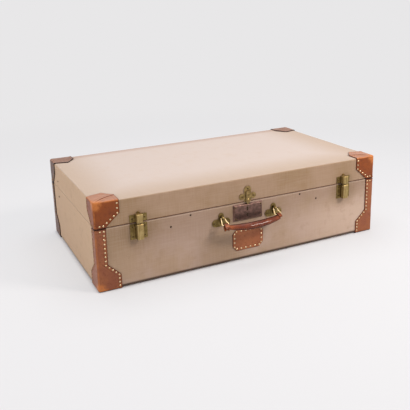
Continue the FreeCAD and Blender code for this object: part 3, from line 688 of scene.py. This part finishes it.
def add(tree, kind, values=None, out=0, **settings):
    """Adds a node with its settings, fills or links its sockets, and gives one of its outputs."""
    node = tree.nodes.new("ShaderNode" + kind)
    for name, value in settings.items():
        setattr(node, name, value)
    for key, value in (values or {}).items():
        if isinstance(value, bpy.types.NodeSocket):
            tree.links.new(value, node.inputs[key])
        else:
            node.inputs[key].default_value = value
    return node.outputs[out] if node.outputs else None


def start_material(name):
    """Empty material, and the places of its piece in millimetres."""
    made = bpy.data.materials.new(name)
    made.use_nodes = True
    tree = made.node_tree
    tree.nodes.clear()
    metres = add(tree, "TexCoord", out="Object")
    places = add(tree, "VectorMath", {0: metres, "Scale": 1 / mm}, operation="SCALE")
    return made, tree, places


def canvas_weave(tree, normal, spot):
    """Height of the canvas's threads, how thick they are here and there, and 1 on the case's two ends."""
    turned = [add(tree, "Math", {0: normal[way]}, **unsigned) for way in "XZ"]
    on_side, on_flat = (add(tree, "Math", {0: share, 1: 0.7}, operation="GREATER_THAN") for share in turned)
    run = add(tree, "Mix", {0: on_side, 2: spot["X"], 3: spot["Y"]})
    rise = add(tree, "Mix", {0: on_flat, 2: spot["Z"], 3: spot["Y"]})
    # Threads are about 0.7 mm apart; they are drawn 1.5 mm apart so that the weave shows
    thread = 1.5
    waves = [add(tree, "Math", {0: add(tree, "Math", {0: way, 1: 2 * math.pi / thread}, **times)},
                 operation="SINE") for way in (run, rise)]
    weave = add(tree, "Math", {0: waves[0], 1: waves[1]}, **times)
    # Thick threads run for some 60 mm and are drawn 2.4 mm wide
    slubs = []
    for along, across in ((run, rise), (rise, run)):
        thread_place = add(tree, "CombineXYZ", {0: along, 1: across})
        stretched = add(tree, "VectorMath", {0: thread_place, 1: (1 / 60, 1 / 2.4, 1.0)}, **times)
        slubs.append(add(tree, "TexNoise", {"Vector": stretched, "Scale": 1.0, "Detail": 2.0}))
    slub = add(tree, "Math", {0: slubs[0], 1: slubs[1]}, operation="ADD")
    height = add(tree, "Math", {0: weave, 1: 0.35, 2: slub}, **times_plus)
    return height, slub, on_side


def canvas_walls(tree, places, spot, on_side, stain):
    """Colour of the walls: the lid's own tone, the base soiled towards the seam, the ends and the right of the
    base painted paler as painted light, a painted shadow below the handle, and darker patches round the latches.
    """
    wide = add(tree, "TexNoise", {"Vector": places, "Scale": 1 / 120, "Detail": 4.0, "Roughness": 0.6})
    blotch = add(tree, "MapRange", {0: wide, 1: 0.36, 2: 0.64}, **eased)
    lid_tone, clean_tone, soiled_tone = (
        add(tree, "Mix", {0: blotch, 6: linear(dark), 7: linear(pale)}, **tinted)
        for dark, pale in (("#967a5c", "#a1856c"), ("#a88d74", "#b09787"), ("#947a5f", "#9c826f")))
    on_lid = add(tree, "Math", {0: spot["Z"], 1: base_edge / mm + 0.5}, operation="GREATER_THAN")
    near_seam = add(tree, "MapRange", {0: spot["Z"], 1: 30.0, 2: base_edge / mm - 12.0}, **eased)
    base_tone = add(tree, "Mix", {0: near_seam, 6: clean_tone, 7: soiled_tone}, **tinted)
    colour = add(tree, "Mix", {0: on_lid, 6: base_tone, 7: lid_tone}, **tinted)
    # The case's two ends are painted paler, as painted light falling on the ends
    colour = add(tree, "Mix", {0: on_side, 6: colour, 7: linear("#bb9d7f")}, **tinted)
    # The right end of the base is painted paler, as painted light from the lamp on the right
    right = add(tree, "MapRange", {0: spot["X"], 1: 40.0, 2: 330.0, 4: 0.8}, **eased)
    lower = add(tree, "MapRange", {0: spot["Z"], 1: 140.0, 2: 60.0}, **eased)
    paler = add(tree, "Math", {0: right, 1: lower}, **times)
    colour = add(tree, "Mix", {0: paler, 6: colour, 7: linear("#c6ad9a")}, **tinted)
    colour = add(tree, "Mix", {0: stain, 6: colour, 7: linear("#8f7258")}, **tinted)
    # Flecks of some 6 mm, about 70 mm apart
    fleck_place = add(tree, "TexVoronoi", {"Vector": places, "Scale": 1 / 70, "Randomness": 1.0})
    fleck = add(tree, "MapRange", {0: fleck_place, 1: 0.06, 2: 0.02, 4: 0.3}, **eased)
    colour = add(tree, "Mix", {0: fleck, 6: colour, 7: linear("#6a5140")}, **tinted)
    # A painted shadow of the handle darkens the cloth below its left mount; round the latches the cloth is darker,
    # partly as painted shade and partly as grime from thumbs
    marks = [(-85.0, 42.0, 85.0, 25.0, 0.45, "#8f765f")]
    for latch in ("latch_base_plate_left", "latch_base_plate_right"):
        low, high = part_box(latch)
        marks.append(((low.x + high.x) / 2 / mm, (low.z + high.z) / 2 / mm, 52.0, 24.0, 0.4, "#7d6448"))
    for x, z, outer, inner, share, tone in marks:
        away = add(tree, "VectorMath", {0: places, 1: (x, canvas_low.y / mm, z)}, out="Value",
                   operation="DISTANCE")
        mark = add(tree, "MapRange", {0: away, 1: outer, 2: inner, 4: share}, **eased)
        colour = add(tree, "Mix", {0: mark, 6: colour, 7: linear(tone)}, **tinted)
    return colour


def canvas_top(tree, spot, stain):
    """Colour of the top: painted paler and greyer than the walls as painted light and sheen from above, least so
    towards its front edge and ends, and soiled along the back.
    """
    along = add(tree, "Math", {0: spot["X"]}, **unsigned)
    from_end = add(tree, "Math", {0: canvas_high.x / mm, 1: along}, **minus)
    from_front = add(tree, "Math", {0: spot["Y"], 1: canvas_low.y / mm}, **minus)
    from_edge = add(tree, "Math", {0: from_end, 1: from_front}, operation="MINIMUM")
    painted_top_light = add(tree, "MapRange", {0: from_edge, 1: 0.0, 2: 130.0}, **eased)
    colour = add(tree, "Mix", {0: painted_top_light, 6: linear("#b5a08e"), 7: linear("#c3b4ab")}, **tinted)
    colour = add(tree, "Mix", {0: stain, 6: colour, 7: linear("#bda691")}, **tinted)
    from_back = add(tree, "Math", {0: canvas_high.y / mm, 1: spot["Y"]}, **minus)
    soiled = add(tree, "MapRange", {0: from_back, 1: 40.0, 2: 3.0, 4: 0.5}, **eased)
    return add(tree, "Mix", {0: soiled, 6: colour, 7: linear("#9a705a")}, **tinted)


def canvas_edges(tree, places, spot, normal, colour):
    """Adds to the canvas's colour what its edges show: a painted highlight on the base's top edge, painted shade
    at the seam and in the gap between the corner strips, painted contact shadow at the bottom, and painted shade
    with grime beside the leather and round the fittings.
    """
    facing_front = add(tree, "Math", {0: normal["Y"]}, **unsigned)
    upright = add(tree, "MapRange", {0: facing_front, 1: 0.3, 2: 0.7}, **eased)
    rim = base_edge / mm
    below = add(tree, "Math", {0: spot["Z"], 1: rim - 0.4}, operation="LESS_THAN")
    above = add(tree, "Math", {0: spot["Z"], 1: rim - 0.4}, operation="GREATER_THAN")
    # The top edge of the base has a painted highlight, and the lid's edge above it has painted shade from the seam
    lip_highlight = add(tree, "MapRange", {0: spot["Z"], 1: rim - 4.2, 2: rim - 1.5, 4: 0.25}, **eased)
    seam_shade = add(tree, "MapRange", {0: spot["Z"], 1: lid_edge / mm + 2.0, 2: lid_edge / mm + 0.7}, **eased)
    for mark, half, tone in ((lip_highlight, below, "#d9c4b2"), (seam_shade, above, "#57321c")):
        on_half = add(tree, "Math", {0: mark, 1: half}, **times)
        share = add(tree, "Math", {0: on_half, 1: upright}, **times)
        colour = add(tree, "Mix", {0: share, 6: colour, 7: linear(tone)}, **tinted)
    # The bottom edge is painted dark as painted contact shadow, less so on the case's ends
    painted_contact_shade = add(tree, "MapRange", {0: spot["Z"], 1: 10.5, 2: 6.0, 4: 0.92}, **eased)
    contact_shade_share = add(tree, "MapRange", {0: facing_front, 1: 0.3, 2: 0.7, 3: 0.35}, **eased)
    painted_contact_shade = add(tree, "Math", {0: painted_contact_shade, 1: contact_shade_share}, **times)
    colour = add(tree, "Mix", {0: painted_contact_shade, 6: colour, 7: linear("#3c2d22")}, **tinted)
    # The canvas in the seam between the corner strips is painted very dark, as painted shade in the gap
    from_middle = add(tree, "VectorMath", {0: places, 1: (0.0, middle_y / mm, rim)}, **minus)
    from_middle = add(tree, "VectorMath", {0: from_middle}, **unsigned)
    seam_gap_box = ((canvas_high.x - strip_width) / mm, (canvas_high.y - middle_y - strip_width) / mm, 5.0)
    beyond = add(tree, "VectorMath", {0: from_middle, 1: seam_gap_box}, **minus)
    beyond = add(tree, "SeparateXYZ", {0: beyond}).node.outputs
    corner = add(tree, "Math", {0: beyond["X"], 1: beyond["Y"]}, operation="MINIMUM")
    in_band = add(tree, "Math", {0: beyond["Z"], 1: -1.0}, **times)
    corner = add(tree, "Math", {0: corner, 1: in_band}, operation="MINIMUM")
    seam_gap_shade = add(tree, "MapRange", {0: corner, 1: 0.0, 2: 1.5}, **eased)
    colour = add(tree, "Mix", {0: seam_gap_shade, 6: colour, 7: linear("#260d08")}, **tinted)
    # Painted shade, with the grime that gathers there, darkens the cloth beside the leather and round the
    # fittings, and not in the seam
    open_air = add(tree, "AmbientOcclusion", {"Distance": 7 * mm}, out="AO", samples=6)
    hollow_darkening = add(tree, "MapRange", {0: open_air, 1: 0.85, 2: 0.4, 4: 0.55}, **eased)
    from_seam = add(tree, "Math", {0: spot["Z"], 1: lid_edge / mm}, **minus)
    from_seam = add(tree, "Math", {0: from_seam}, **unsigned)
    off_seam = add(tree, "MapRange", {0: from_seam, 1: 1.0, 2: 4.0}, **eased)
    hollow_darkening = add(tree, "Math", {0: hollow_darkening, 1: off_seam}, **times)
    return add(tree, "Mix", {0: hollow_darkening, 6: colour, 7: linear("#6b4426")}, **tinted)


def cotton_canvas():
    """Cotton canvas, plain woven, sized and glued down: dull, with thick threads here and there, stains, a top
    painted paler as painted light and sheen, a painted highlight on the base's top edge, painted shade at the
    seam, painted contact shadow at the bottom edge, and painted shade with grime round the fittings."""
    made, tree, places = start_material("cotton_canvas")
    normal = add(tree, "SeparateXYZ", {0: add(tree, "TexCoord", out="Normal")}).node.outputs
    spot = add(tree, "SeparateXYZ", {0: places}).node.outputs
    height, slub, on_side = canvas_weave(tree, normal, spot)
    small = add(tree, "TexNoise", {"Vector": places, "Scale": 1 / 24, "Detail": 5.0, "Roughness": 0.65})
    stain = add(tree, "MapRange", {0: small, 1: 0.5, 2: 0.8, 4: 0.4}, **eased)
    walls = canvas_walls(tree, places, spot, on_side, stain)
    top = canvas_top(tree, spot, stain)
    # The top takes its own paler, greyer colour, as painted light and sheen from above
    facing_up = add(tree, "MapRange", {0: normal["Z"], 1: 0.5, 2: 0.95}, **eased)
    colour = add(tree, "Mix", {0: facing_up, 6: walls, 7: top}, **tinted)
    thick = add(tree, "MapRange", {0: slub, 1: 0.75, 2: 1.3, 4: 0.1}, **eased)
    colour = add(tree, "Mix", {0: thick, 6: colour, 7: linear("#d2bfae")}, **tinted)
    colour = canvas_edges(tree, places, spot, normal, colour)
    bump = add(tree, "Bump", {"Height": height, "Strength": 0.12, "Distance": 0.3 * mm})
    surface = add(tree, "BsdfPrincipled", {
        "Base Color": colour, "Normal": bump, "Roughness": 0.88, "Specular IOR Level": 0.25,
        "Sheen Weight": 0.1, "Sheen Roughness": 0.5})
    add(tree, "OutputMaterial", {"Surface": surface})
    return made


def cotton_lining():
    """Thin cotton pasted to the boards: plain weave, warm, a little yellowed and stained."""
    made, tree, places = start_material("cotton_lining")
    blotch = add(tree, "TexNoise", {"Vector": places, "Scale": 1 / 60, "Detail": 4.0})
    # Threads are about 0.5 mm apart; they are drawn 1.6 mm apart so that they show
    threads = add(tree, "TexNoise", {"Vector": places, "Scale": 1 / 1.6, "Detail": 2.0})
    yellowed = add(tree, "MapRange", {0: blotch, 1: 0.35, 2: 0.7}, **eased)
    colour = add(tree, "Mix", {0: yellowed, 6: linear("#ccba9a"), 7: linear("#c2ad8b")}, **tinted)
    colour = add(tree, "Mix", {0: add(tree, "MapRange", {0: threads, 1: 0.4, 2: 0.8, 4: 0.5}), 6: colour,
                               7: linear("#dccdb2")}, **tinted)
    bump = add(tree, "Bump", {"Height": threads, "Strength": 0.25, "Distance": 0.3 * mm})
    surface = add(tree, "BsdfPrincipled", {"Base Color": colour, "Normal": bump, "Roughness": 0.9,
                                           "Sheen Weight": 0.15})
    add(tree, "OutputMaterial", {"Surface": surface})
    return made


def tanned_leather(name, fresh, old):
    """Vegetable-tanned cowhide, waxed: brown in uneven tones, dark along its burnished cut edges and the
    crease line beside them, painted paler on top as painted light and sheen, dark at the bottom as painted contact
    shadow, and rubbed pale and orange at the case's corners."""
    made, tree, places = start_material(name)
    broad = add(tree, "TexNoise", {"Vector": places, "Scale": 1 / 34, "Detail": 4.0, "Roughness": 0.6})
    fine = add(tree, "TexNoise", {"Vector": places, "Scale": 1 / 7, "Detail": 5.0, "Roughness": 0.65})
    # Pores are about 0.3 mm apart; they are drawn 1.6 mm apart so that the grain shows
    grain = add(tree, "TexVoronoi", {"Vector": places, "Scale": 1 / 1.6, "Randomness": 1.0})
    gap, wear, age = (add(tree, "Attribute", out="Fac", attribute_name=layer)
                      for layer in ("edge_gap", "wear", "age"))
    patches = add(tree, "MapRange", {0: broad, 1: 0.36, 2: 0.64}, **eased)
    colour = add(tree, "Mix", {0: patches, 6: linear(fresh[0]), 7: linear(fresh[1])}, **tinted)
    aged = add(tree, "Mix", {0: patches, 6: linear(old[0]), 7: linear(old[1])}, **tinted)
    colour = add(tree, "Mix", {0: age, 6: colour, 7: aged}, **tinted)
    blot = add(tree, "MapRange", {0: fine, 1: 0.5, 2: 0.78, 4: 0.75}, **eased)
    colour = add(tree, "Mix", {0: blot, 6: colour, 7: linear("#5e2f18")}, **tinted)
    # The top is painted paler, as painted light and sheen from above; the old corners get less of it, and are
    # rubbed hardly at all
    facing_up = add(tree, "SeparateXYZ", {0: add(tree, "TexCoord", out="Normal")}, out="Z")
    painted_top_light = add(tree, "MapRange", {0: facing_up, 1: 0.4, 2: 0.9, 4: 0.47}, **eased)
    top_light_share, kept = (add(tree, "Math", {0: age, 1: loss, 2: 1.0}, **times_plus) for loss in (-0.4, -0.9))
    painted_top_light = add(tree, "Math", {0: painted_top_light, 1: top_light_share}, **times)
    colour = add(tree, "Mix", {0: painted_top_light, 6: colour, 7: linear("#cd9b7e")}, **tinted)
    rub = add(tree, "Math", {0: wear, 1: fine}, **times)
    rubbed = add(tree, "MapRange", {0: rub, 1: 0.14, 2: 0.46, 4: 0.9}, **eased)
    rubbed = add(tree, "Math", {0: rubbed, 1: kept}, **times)
    colour = add(tree, "Mix", {0: rubbed, 6: colour, 7: linear("#c87a3e")}, **tinted)
    # The old corners' edges are darker, and dark for a greater width
    reach = add(tree, "Math", {0: age, 1: 2.2, 2: 1.6}, **times_plus)
    burnish = add(tree, "MapRange", {0: gap, 1: reach, 2: 0.3, 4: 0.85}, **eased)
    edge_tone = add(tree, "Mix", {0: age, 6: linear("#5e2d16"), 7: linear("#1e110b")}, **tinted)
    colour = add(tree, "Mix", {0: burnish, 6: colour, 7: edge_tone}, **tinted)
    # The bottom of the feet is painted dark, as painted contact shadow
    height_above = add(tree, "SeparateXYZ", {0: places}, out="Z")
    painted_contact_shade = add(tree, "MapRange", {0: height_above, 1: 4.0, 2: 1.5, 4: 0.85}, **eased)
    colour = add(tree, "Mix", {0: painted_contact_shade, 6: colour, 7: linear("#3a1c10")}, **tinted)
    from_crease = add(tree, "Math", {0: gap, 1: 7.4}, **minus)
    from_crease = add(tree, "Math", {0: from_crease}, **unsigned)
    crease = add(tree, "MapRange", {0: from_crease, 1: 0.9, 2: 0.2, 4: 0.4}, **eased)
    colour = add(tree, "Mix", {0: crease, 6: colour, 7: linear("#4a2413")}, **tinted)
    height = add(tree, "Math", {0: grain, 1: 0.4, 2: fine}, **times_plus)
    height = add(tree, "Math", {0: crease, 1: -1.5, 2: height}, **times_plus)
    bump = add(tree, "Bump", {"Height": height, "Strength": 0.3, "Distance": 0.5 * mm})
    shine = add(tree, "MapRange", {0: fine, 1: 0.3, 2: 0.75, 3: 0.36, 4: 0.54})
    surface = add(tree, "BsdfPrincipled", {
        "Base Color": colour, "Normal": bump, "Roughness": shine, "IOR": 1.48, "Specular IOR Level": 0.22,
        "Sheen Weight": 0.1, "Sheen Roughness": 0.35})
    add(tree, "OutputMaterial", {"Surface": surface})
    return made


def polished_leather():
    """Bridle leather polished by hands: red-brown and glossy, with painted shade underneath, along the back of its
    top and beside its straps, more orange at the ends.
    """
    made, tree, places = start_material("polished_leather")
    broad = add(tree, "TexNoise", {"Vector": places, "Scale": 1 / 20, "Detail": 4.0, "Roughness": 0.6})
    fine = add(tree, "TexNoise", {"Vector": places, "Scale": 1 / 4, "Detail": 4.0, "Roughness": 0.6})
    spot = add(tree, "SeparateXYZ", {0: places}).node.outputs
    patches = add(tree, "MapRange", {0: broad, 1: 0.38, 2: 0.62}, **eased)
    colour = add(tree, "Mix", {0: patches, 6: linear("#7c3c20"), 7: linear("#662d1b")}, **tinted)
    from_middle = add(tree, "Math", {0: spot["X"], 1: axis.x / mm}, **minus)
    for start, end, share in ((-50.0, -66.0, 0.85), (56.0, 72.0, 0.5)):
        near_end = add(tree, "MapRange", {0: from_middle, 1: start, 2: end, 4: share}, **eased)
        colour = add(tree, "Mix", {0: near_end, 6: colour, 7: linear("#a95c32")}, **tinted)
    blot = add(tree, "MapRange", {0: fine, 1: 0.52, 2: 0.8, 4: 0.6}, **eased)
    colour = add(tree, "Mix", {0: blot, 6: colour, 7: linear("#5c2a1c")}, **tinted)
    normal = add(tree, "SeparateXYZ", {0: add(tree, "TexCoord", out="Normal")}).node.outputs
    # Painted shade underneath and along the back of the top, where the grip turns away from the light
    painted_underside_shade = add(tree, "MapRange", {0: normal["Z"], 1: 0.2, 2: -0.4, 4: 0.9}, **eased)
    colour = add(tree, "Mix", {0: painted_underside_shade, 6: colour, 7: linear("#351712")}, **tinted)
    painted_back_shade = add(tree, "MapRange", {0: normal["Y"], 1: -0.6, 2: -0.2, 4: 0.9}, **eased)
    colour = add(tree, "Mix", {0: painted_back_shade, 6: colour, 7: linear("#38160c")}, **tinted)
    # Painted shade close to the straps, the rings and the case
    open_air = add(tree, "AmbientOcclusion", {"Distance": 5 * mm}, out="AO", samples=6)
    hollow_darkening = add(tree, "MapRange", {0: open_air, 1: 0.7, 2: 0.3, 4: 0.8}, **eased)
    colour = add(tree, "Mix", {0: hollow_darkening, 6: colour, 7: linear("#36160e")}, **tinted)
    bump = add(tree, "Bump", {"Height": fine, "Strength": 0.12, "Distance": 0.4 * mm})
    shine = add(tree, "MapRange", {0: fine, 1: 0.3, 2: 0.75, 3: 0.24, 4: 0.42})
    surface = add(tree, "BsdfPrincipled", {
        "Base Color": colour, "Normal": bump, "Roughness": shine, "IOR": 1.5, "Specular IOR Level": 0.08,
        "Coat Weight": 0.3, "Coat Roughness": 0.06})
    add(tree, "OutputMaterial", {"Surface": surface})
    return made


def linen_thread():
    """Waxed linen thread: twisted, matt and darkened by handling."""
    made, tree, places = start_material("linen_thread")
    twist = add(tree, "TexNoise", {"Vector": places, "Scale": 1 / 0.8, "Detail": 2.0})
    colour = add(tree, "Mix", {0: twist, 6: linear("#6a4026"), 7: linear("#8f6040")}, **tinted)
    surface = add(tree, "BsdfPrincipled", {"Base Color": colour, "Roughness": 0.75})
    add(tree, "OutputMaterial", {"Surface": surface})
    return made


def aged_metal(name, bright, rubbed, tarnished, dirty, roughness, dirt_reach=6.0, streaks=0.0, end_darkening=0.0):
    """Cast or stamped metal, long handled: bright along its worn edges, dark with dirt in its recesses."""
    made, tree, places = start_material(name)
    cloud = add(tree, "TexNoise", {"Vector": places, "Scale": 1 / 8, "Detail": 4.0, "Roughness": 0.6})
    # Upright rub marks, some 3 mm apart and 40 mm long
    stretched = add(tree, "VectorMath", {0: places, 1: (1 / 3, 1 / 3, 1 / 40)}, **times)
    rub_marks = add(tree, "TexNoise", {"Vector": stretched, "Scale": 1.0, "Detail": 3.0})
    cloud = add(tree, "Mix", {0: streaks, 2: cloud, 3: rub_marks})
    speck = add(tree, "TexNoise", {"Vector": places, "Scale": 1 / 1.4, "Detail": 2.0})
    tarnish = add(tree, "MapRange", {0: cloud, 1: 0.35, 2: 0.68}, **eased)
    colour = add(tree, "Mix", {0: tarnish, 6: linear(rubbed), 7: linear(tarnished)}, **tinted)
    open_air = add(tree, "AmbientOcclusion", {"Distance": dirt_reach * mm}, out="AO", samples=8)
    hollow_darkening = add(tree, "MapRange", {0: open_air, 1: 0.9, 2: 0.4}, **eased)
    colour = add(tree, "Mix", {0: hollow_darkening, 6: colour, 7: linear(dirty)}, **tinted)
    within_edge = add(tree, "AmbientOcclusion", {"Distance": metal_worn_edge}, out="AO", samples=8,
                      inside=True)
    worn = add(tree, "MapRange", {0: within_edge, 1: 0.8, 2: 0.45, 4: 0.8}, **eased)
    colour = add(tree, "Mix", {0: worn, 6: colour, 7: linear(bright)}, **tinted)
    if end_darkening:
        # On the case's two ends the metal is darker
        along = add(tree, "Math", {0: add(tree, "SeparateXYZ", {0: places}, out="X")}, **unsigned)
        end = canvas_high.x / mm
        dull = add(tree, "MapRange", {0: along, 1: end - 1.0, 2: end, 4: end_darkening}, **eased)
        colour = add(tree, "Mix", {0: dull, 6: colour, 7: linear(dirty)}, **tinted)
    bump = add(tree, "Bump", {"Height": speck, "Strength": 0.12, "Distance": 0.2 * mm})
    shine = add(tree, "MapRange", {0: cloud, 1: 0.3, 2: 0.75, 3: roughness - 0.08, 4: roughness + 0.15})
    surface = add(tree, "BsdfPrincipled", {
        "Base Color": colour, "Normal": bump, "Roughness": shine, "Metallic": 1.0})
    add(tree, "OutputMaterial", {"Surface": surface})
    return made


def poplar_board():
    """Sawn poplar: pale, straight-grained and bare."""
    made, tree, places = start_material("poplar")
    stretched = add(tree, "VectorMath", {0: places, 1: (1 / 60, 1 / 4, 1 / 4)}, **times)
    grain = add(tree, "TexNoise", {"Vector": stretched, "Scale": 1.0, "Detail": 4.0})
    streak = add(tree, "MapRange", {0: grain, 1: 0.3, 2: 0.7}, **eased)
    colour = add(tree, "Mix", {0: streak, 6: linear("#c9ab80"), 7: linear("#a98860")}, **tinted)
    bump = add(tree, "Bump", {"Height": grain, "Strength": 0.15, "Distance": 0.3 * mm})
    surface = add(tree, "BsdfPrincipled", {"Base Color": colour, "Normal": bump, "Roughness": 0.7})
    add(tree, "OutputMaterial", {"Surface": surface})
    return made


# Studio

backdrop_tone = "#e8e7e8"
floor_tone = "#e3e3e5"
floor_glow = 0.63
world_strength = 0.38


def seen_rays(tree):
    """1 for rays from the eye, straight, mirrored or through glass, and 0 for those that only light."""
    path = add(tree, "LightPath").node.outputs
    seen = path["Is Camera Ray"]
    for ray in ("Is Glossy Ray", "Is Transmission Ray"):
        seen = add(tree, "Math", {0: seen, 1: path[ray]}, operation="ADD", use_clamp=True)
    return seen


def studio_floor():
    """Plain pale floor that keeps the case's shadow and runs out into the backdrop's own tone."""
    made, tree, _ = start_material("studio_floor")
    metres = add(tree, "TexCoord", out="Object")
    reach = add(tree, "VectorMath", {0: metres}, out="Value", operation="LENGTH")
    far = add(tree, "MapRange", {0: reach, 1: 0.5, 2: 2.0, 3: floor_glow, 4: 1.0}, **eased)
    # No glow under the case and close beside it, where its shadow is darkest
    from_middle = add(tree, "VectorMath", {0: metres, 1: (0.0, middle_y, 0.0)}, **minus)
    from_middle = add(tree, "VectorMath", {0: from_middle}, **unsigned)
    footprint = (leather_high.x, leather_high.y - middle_y, 0.0)
    beyond = add(tree, "VectorMath", {0: from_middle, 1: footprint}, **minus)
    beyond = add(tree, "SeparateXYZ", {0: beyond}).node.outputs
    beside_case = add(tree, "Math", {0: beyond["X"], 1: beyond["Y"]}, operation="MAXIMUM")
    clear = add(tree, "MapRange", {0: beside_case, 1: -3 * mm, 2: 9 * mm, 3: 0.05, 4: 1.0}, **eased)
    far = add(tree, "Math", {0: far, 1: clear}, **times)
    share = add(tree, "Math", {0: seen_rays(tree), 1: far}, **times)
    paint = add(tree, "BsdfPrincipled", {
        "Base Color": linear(floor_tone), "Roughness": 0.9, "Specular IOR Level": 0.1})
    glow = add(tree, "Emission", {"Color": linear(backdrop_tone)})
    add(tree, "OutputMaterial", {"Surface": add(tree, "MixShader", {0: share, 1: paint, 2: glow})})
    mesh = bmesh.new()
    spans = [3.0 * i for i in range(-5, 6)]
    grid(mesh, spans, spans, lambda x, y: Vector((x, y, 0)))
    data = bpy.data.meshes.new("studio_floor")
    mesh.to_mesh(data)
    mesh.free()
    data.materials.append(made)
    floor = bpy.data.objects.new("studio_floor", data)
    bpy.context.scene.collection.objects.link(floor)


def studio_world():
    """Even light from all round, with the backdrop's tone wherever it is seen or mirrored."""
    world = bpy.data.worlds.new("studio")
    bpy.context.scene.world = world
    world.use_nodes = True
    tree = world.node_tree
    tree.nodes.clear()
    light = add(tree, "Background", {"Color": linear("#f6f7ff"), "Strength": world_strength})
    shown = add(tree, "Background", {"Color": linear(backdrop_tone), "Strength": 1.0})
    add(tree, "OutputWorld", {"Surface": add(tree, "MixShader", {0: seen_rays(tree), 1: light, 2: shown})})


def softbox(name, place, aim, width, height, power, colour):
    """Large soft lamp that faces a point."""
    lamp = bpy.data.lights.new(name, "AREA")
    lamp.shape = "RECTANGLE"
    lamp.size = width
    lamp.size_y = height
    lamp.energy = power
    lamp.color = linear(colour)[:3]
    made = bpy.data.objects.new(name, lamp)
    made.location = place
    made.rotation_euler = (Vector(aim) - Vector(place)).to_track_quat("-Z", "Y").to_euler()
    bpy.context.scene.collection.objects.link(made)


def photo_camera():
    """Camera at the photograph's viewing angle."""
    azimuth = math.radians(-25.62)
    elevation = math.radians(14.77)
    roll = math.radians(-1.491)
    place = Vector((-678.3 * mm, middle_y - 1387.6 * mm, 619.2 * mm))
    image_width = 410
    focal_pixels = 606.85
    axis_row = 155
    back = Vector((math.sin(azimuth) * math.cos(elevation), -math.cos(azimuth) * math.cos(elevation),
                   math.sin(elevation)))
    level = (-back).cross(Vector((0, 0, 1))).normalized()
    rise = level.cross(-back)
    right = level * math.cos(roll) + rise * math.sin(roll)
    up = rise * math.cos(roll) - level * math.sin(roll)
    data = bpy.data.cameras.new("photo_camera")
    data.sensor_width = 36
    data.sensor_fit = "HORIZONTAL"
    data.lens = focal_pixels / image_width * data.sensor_width
    data.shift_y = (axis_row - image_width / 2) / image_width
    camera = bpy.data.objects.new("photo_camera", data)
    camera.matrix_world = Matrix.Translation(place) @ Matrix((right, up, back)).transposed().to_4x4()
    bpy.context.scene.collection.objects.link(camera)
    bpy.context.scene.camera = camera


bpy.context.scene.view_settings.view_transform = "Standard"
photo_camera()
studio_world()
studio_floor()
softbox("overhead", (0.1, 0.4, 2.4), (0, 0, 0.1), 2.4, 2.0, 40, "#ffffff")
softbox("key_right", (1.15, -1.4, 1.5), (0.1, 0, 0.1), 0.55, 0.55, 31, "#fff6ee")
softbox("fill_left", (-2.3, -0.3, 1.0), (0, 0, 0.1), 1.4, 1.2, 20, "#fffaf4")

canvas = cotton_canvas()
lining = cotton_lining()
corner_leather = {"lid": tanned_leather("lid_leather", ("#90491a", "#80401e"), ("#4e2f24", "#442a24")),
                  "base": tanned_leather("base_leather", ("#9d5f3b", "#905439"), ("#56372b", "#4a2f28"))}
patch_leather = tanned_leather("patch_leather", ("#a1623f", "#96593a"), ("#4e2f24", "#442a24"))
grip_leather = polished_leather()
thread = linen_thread()
brass = aged_metal("aged_brass", "#d8c498", "#b8a06e", "#8c7548", "#3a2c14", 0.52, 2.5, 0.6)
plate_brass = aged_metal("tarnished_brass", "#b0996f", "#8f7a4c", "#65532f", "#2a1e0e", 0.46, 3.0, 0.3)
catch_brass = aged_metal("catch_brass", "#c5ab7e", "#9f8659", "#75603b", "#2a1e0e", 0.4, 3.0)
ring_brass = aged_metal("polished_brass", "#ecd8b4", "#e0c89c", "#c8ac7c", "#4a3a18", 0.28, 3.0)
tack_brass = aged_metal("tack_brass", "#dcc6a0", "#dcc6a0", "#c4aa80", "#6e4a30", 0.3, 1.5, end_darkening=0.85)
nail_brass = aged_metal("nail_brass", "#6e5c3c", "#5e4c30", "#443520", "#1c140a", 0.4, 2.0)
bronze = aged_metal("dark_bronze", "#90756a", "#83645a", "#5e4a42", "#120c0a", 0.34)
black_steel = aged_metal("blackened_steel", "#2a211c", "#2a211c", "#1d1613", "#0a0706", 0.5)
steel = aged_metal("browned_steel", "#5a4a3e", "#4a3a30", "#3a2c24", "#1a130e", 0.5)
poplar = poplar_board()

# How dark each corner's leather has grown, from 0 to 1
corner_ages = {"front_left": 0.2, "front_right": 0.05, "back_left": 0.95, "back_right": 0.85}
tacks = tack_heads("lid_tacks", "base_tacks")
for level in ("lid", "base"):
    canvas_cover(level, canvas)
    lining_cloth(level, lining)
    for name, age in corner_ages.items():
        side_x = -1 if name.endswith("left") else 1
        side_y = -1 if name.startswith("front") else 1
        rub = 0.4 if (level, name) == ("base", "front_right") else 1.0
        leather_corner(level, name, side_x, side_y, age, rub, tacks, corner_leather[level])
name_patch(tacks, patch_leather)
handle_grip(grip_leather)
# The right strap's tails have been cut back short
handle_loop("left", -1, loop_long_tail, loop_tail_width, loop_notch, grip_leather)
handle_loop("right", 1, loop_short_tail, 0.8 * loop_width, 0, grip_leather)
handle_stitching(thread)

slot_finish = {"brass": brass, "dark_bronze": bronze, "dark_steel": steel, "poplar": poplar}
own_finish = {name: plate_brass for name in nodes if "_plate_" in name or name.startswith("handle_mount")}
own_finish |= {"lid_tacks": tack_brass, "base_tacks": tack_brass, "lid_nails": nail_brass,
               "base_nails": nail_brass, "lock_catch": catch_brass, "lock_case": black_steel,
               "handle_ring_left": ring_brass, "handle_ring_right": ring_brass}
for part in frame["record"]["subparts"]:
    name, slot = part["node"], part["material_slot"]
    if slot not in slot_finish:
        continue
    node = nodes[name]
    node.data.materials.clear()
    node.data.materials.append(own_finish.get(name, slot_finish[slot]))
    if slot in ("brass", "dark_bronze") and not name.endswith(("_tacks", "_nails")):
        joined = node.modifiers.new("weld", "WELD")
        joined.merge_threshold = metal_weld
        round_edges(node, metal_edge_round, 2, 40)
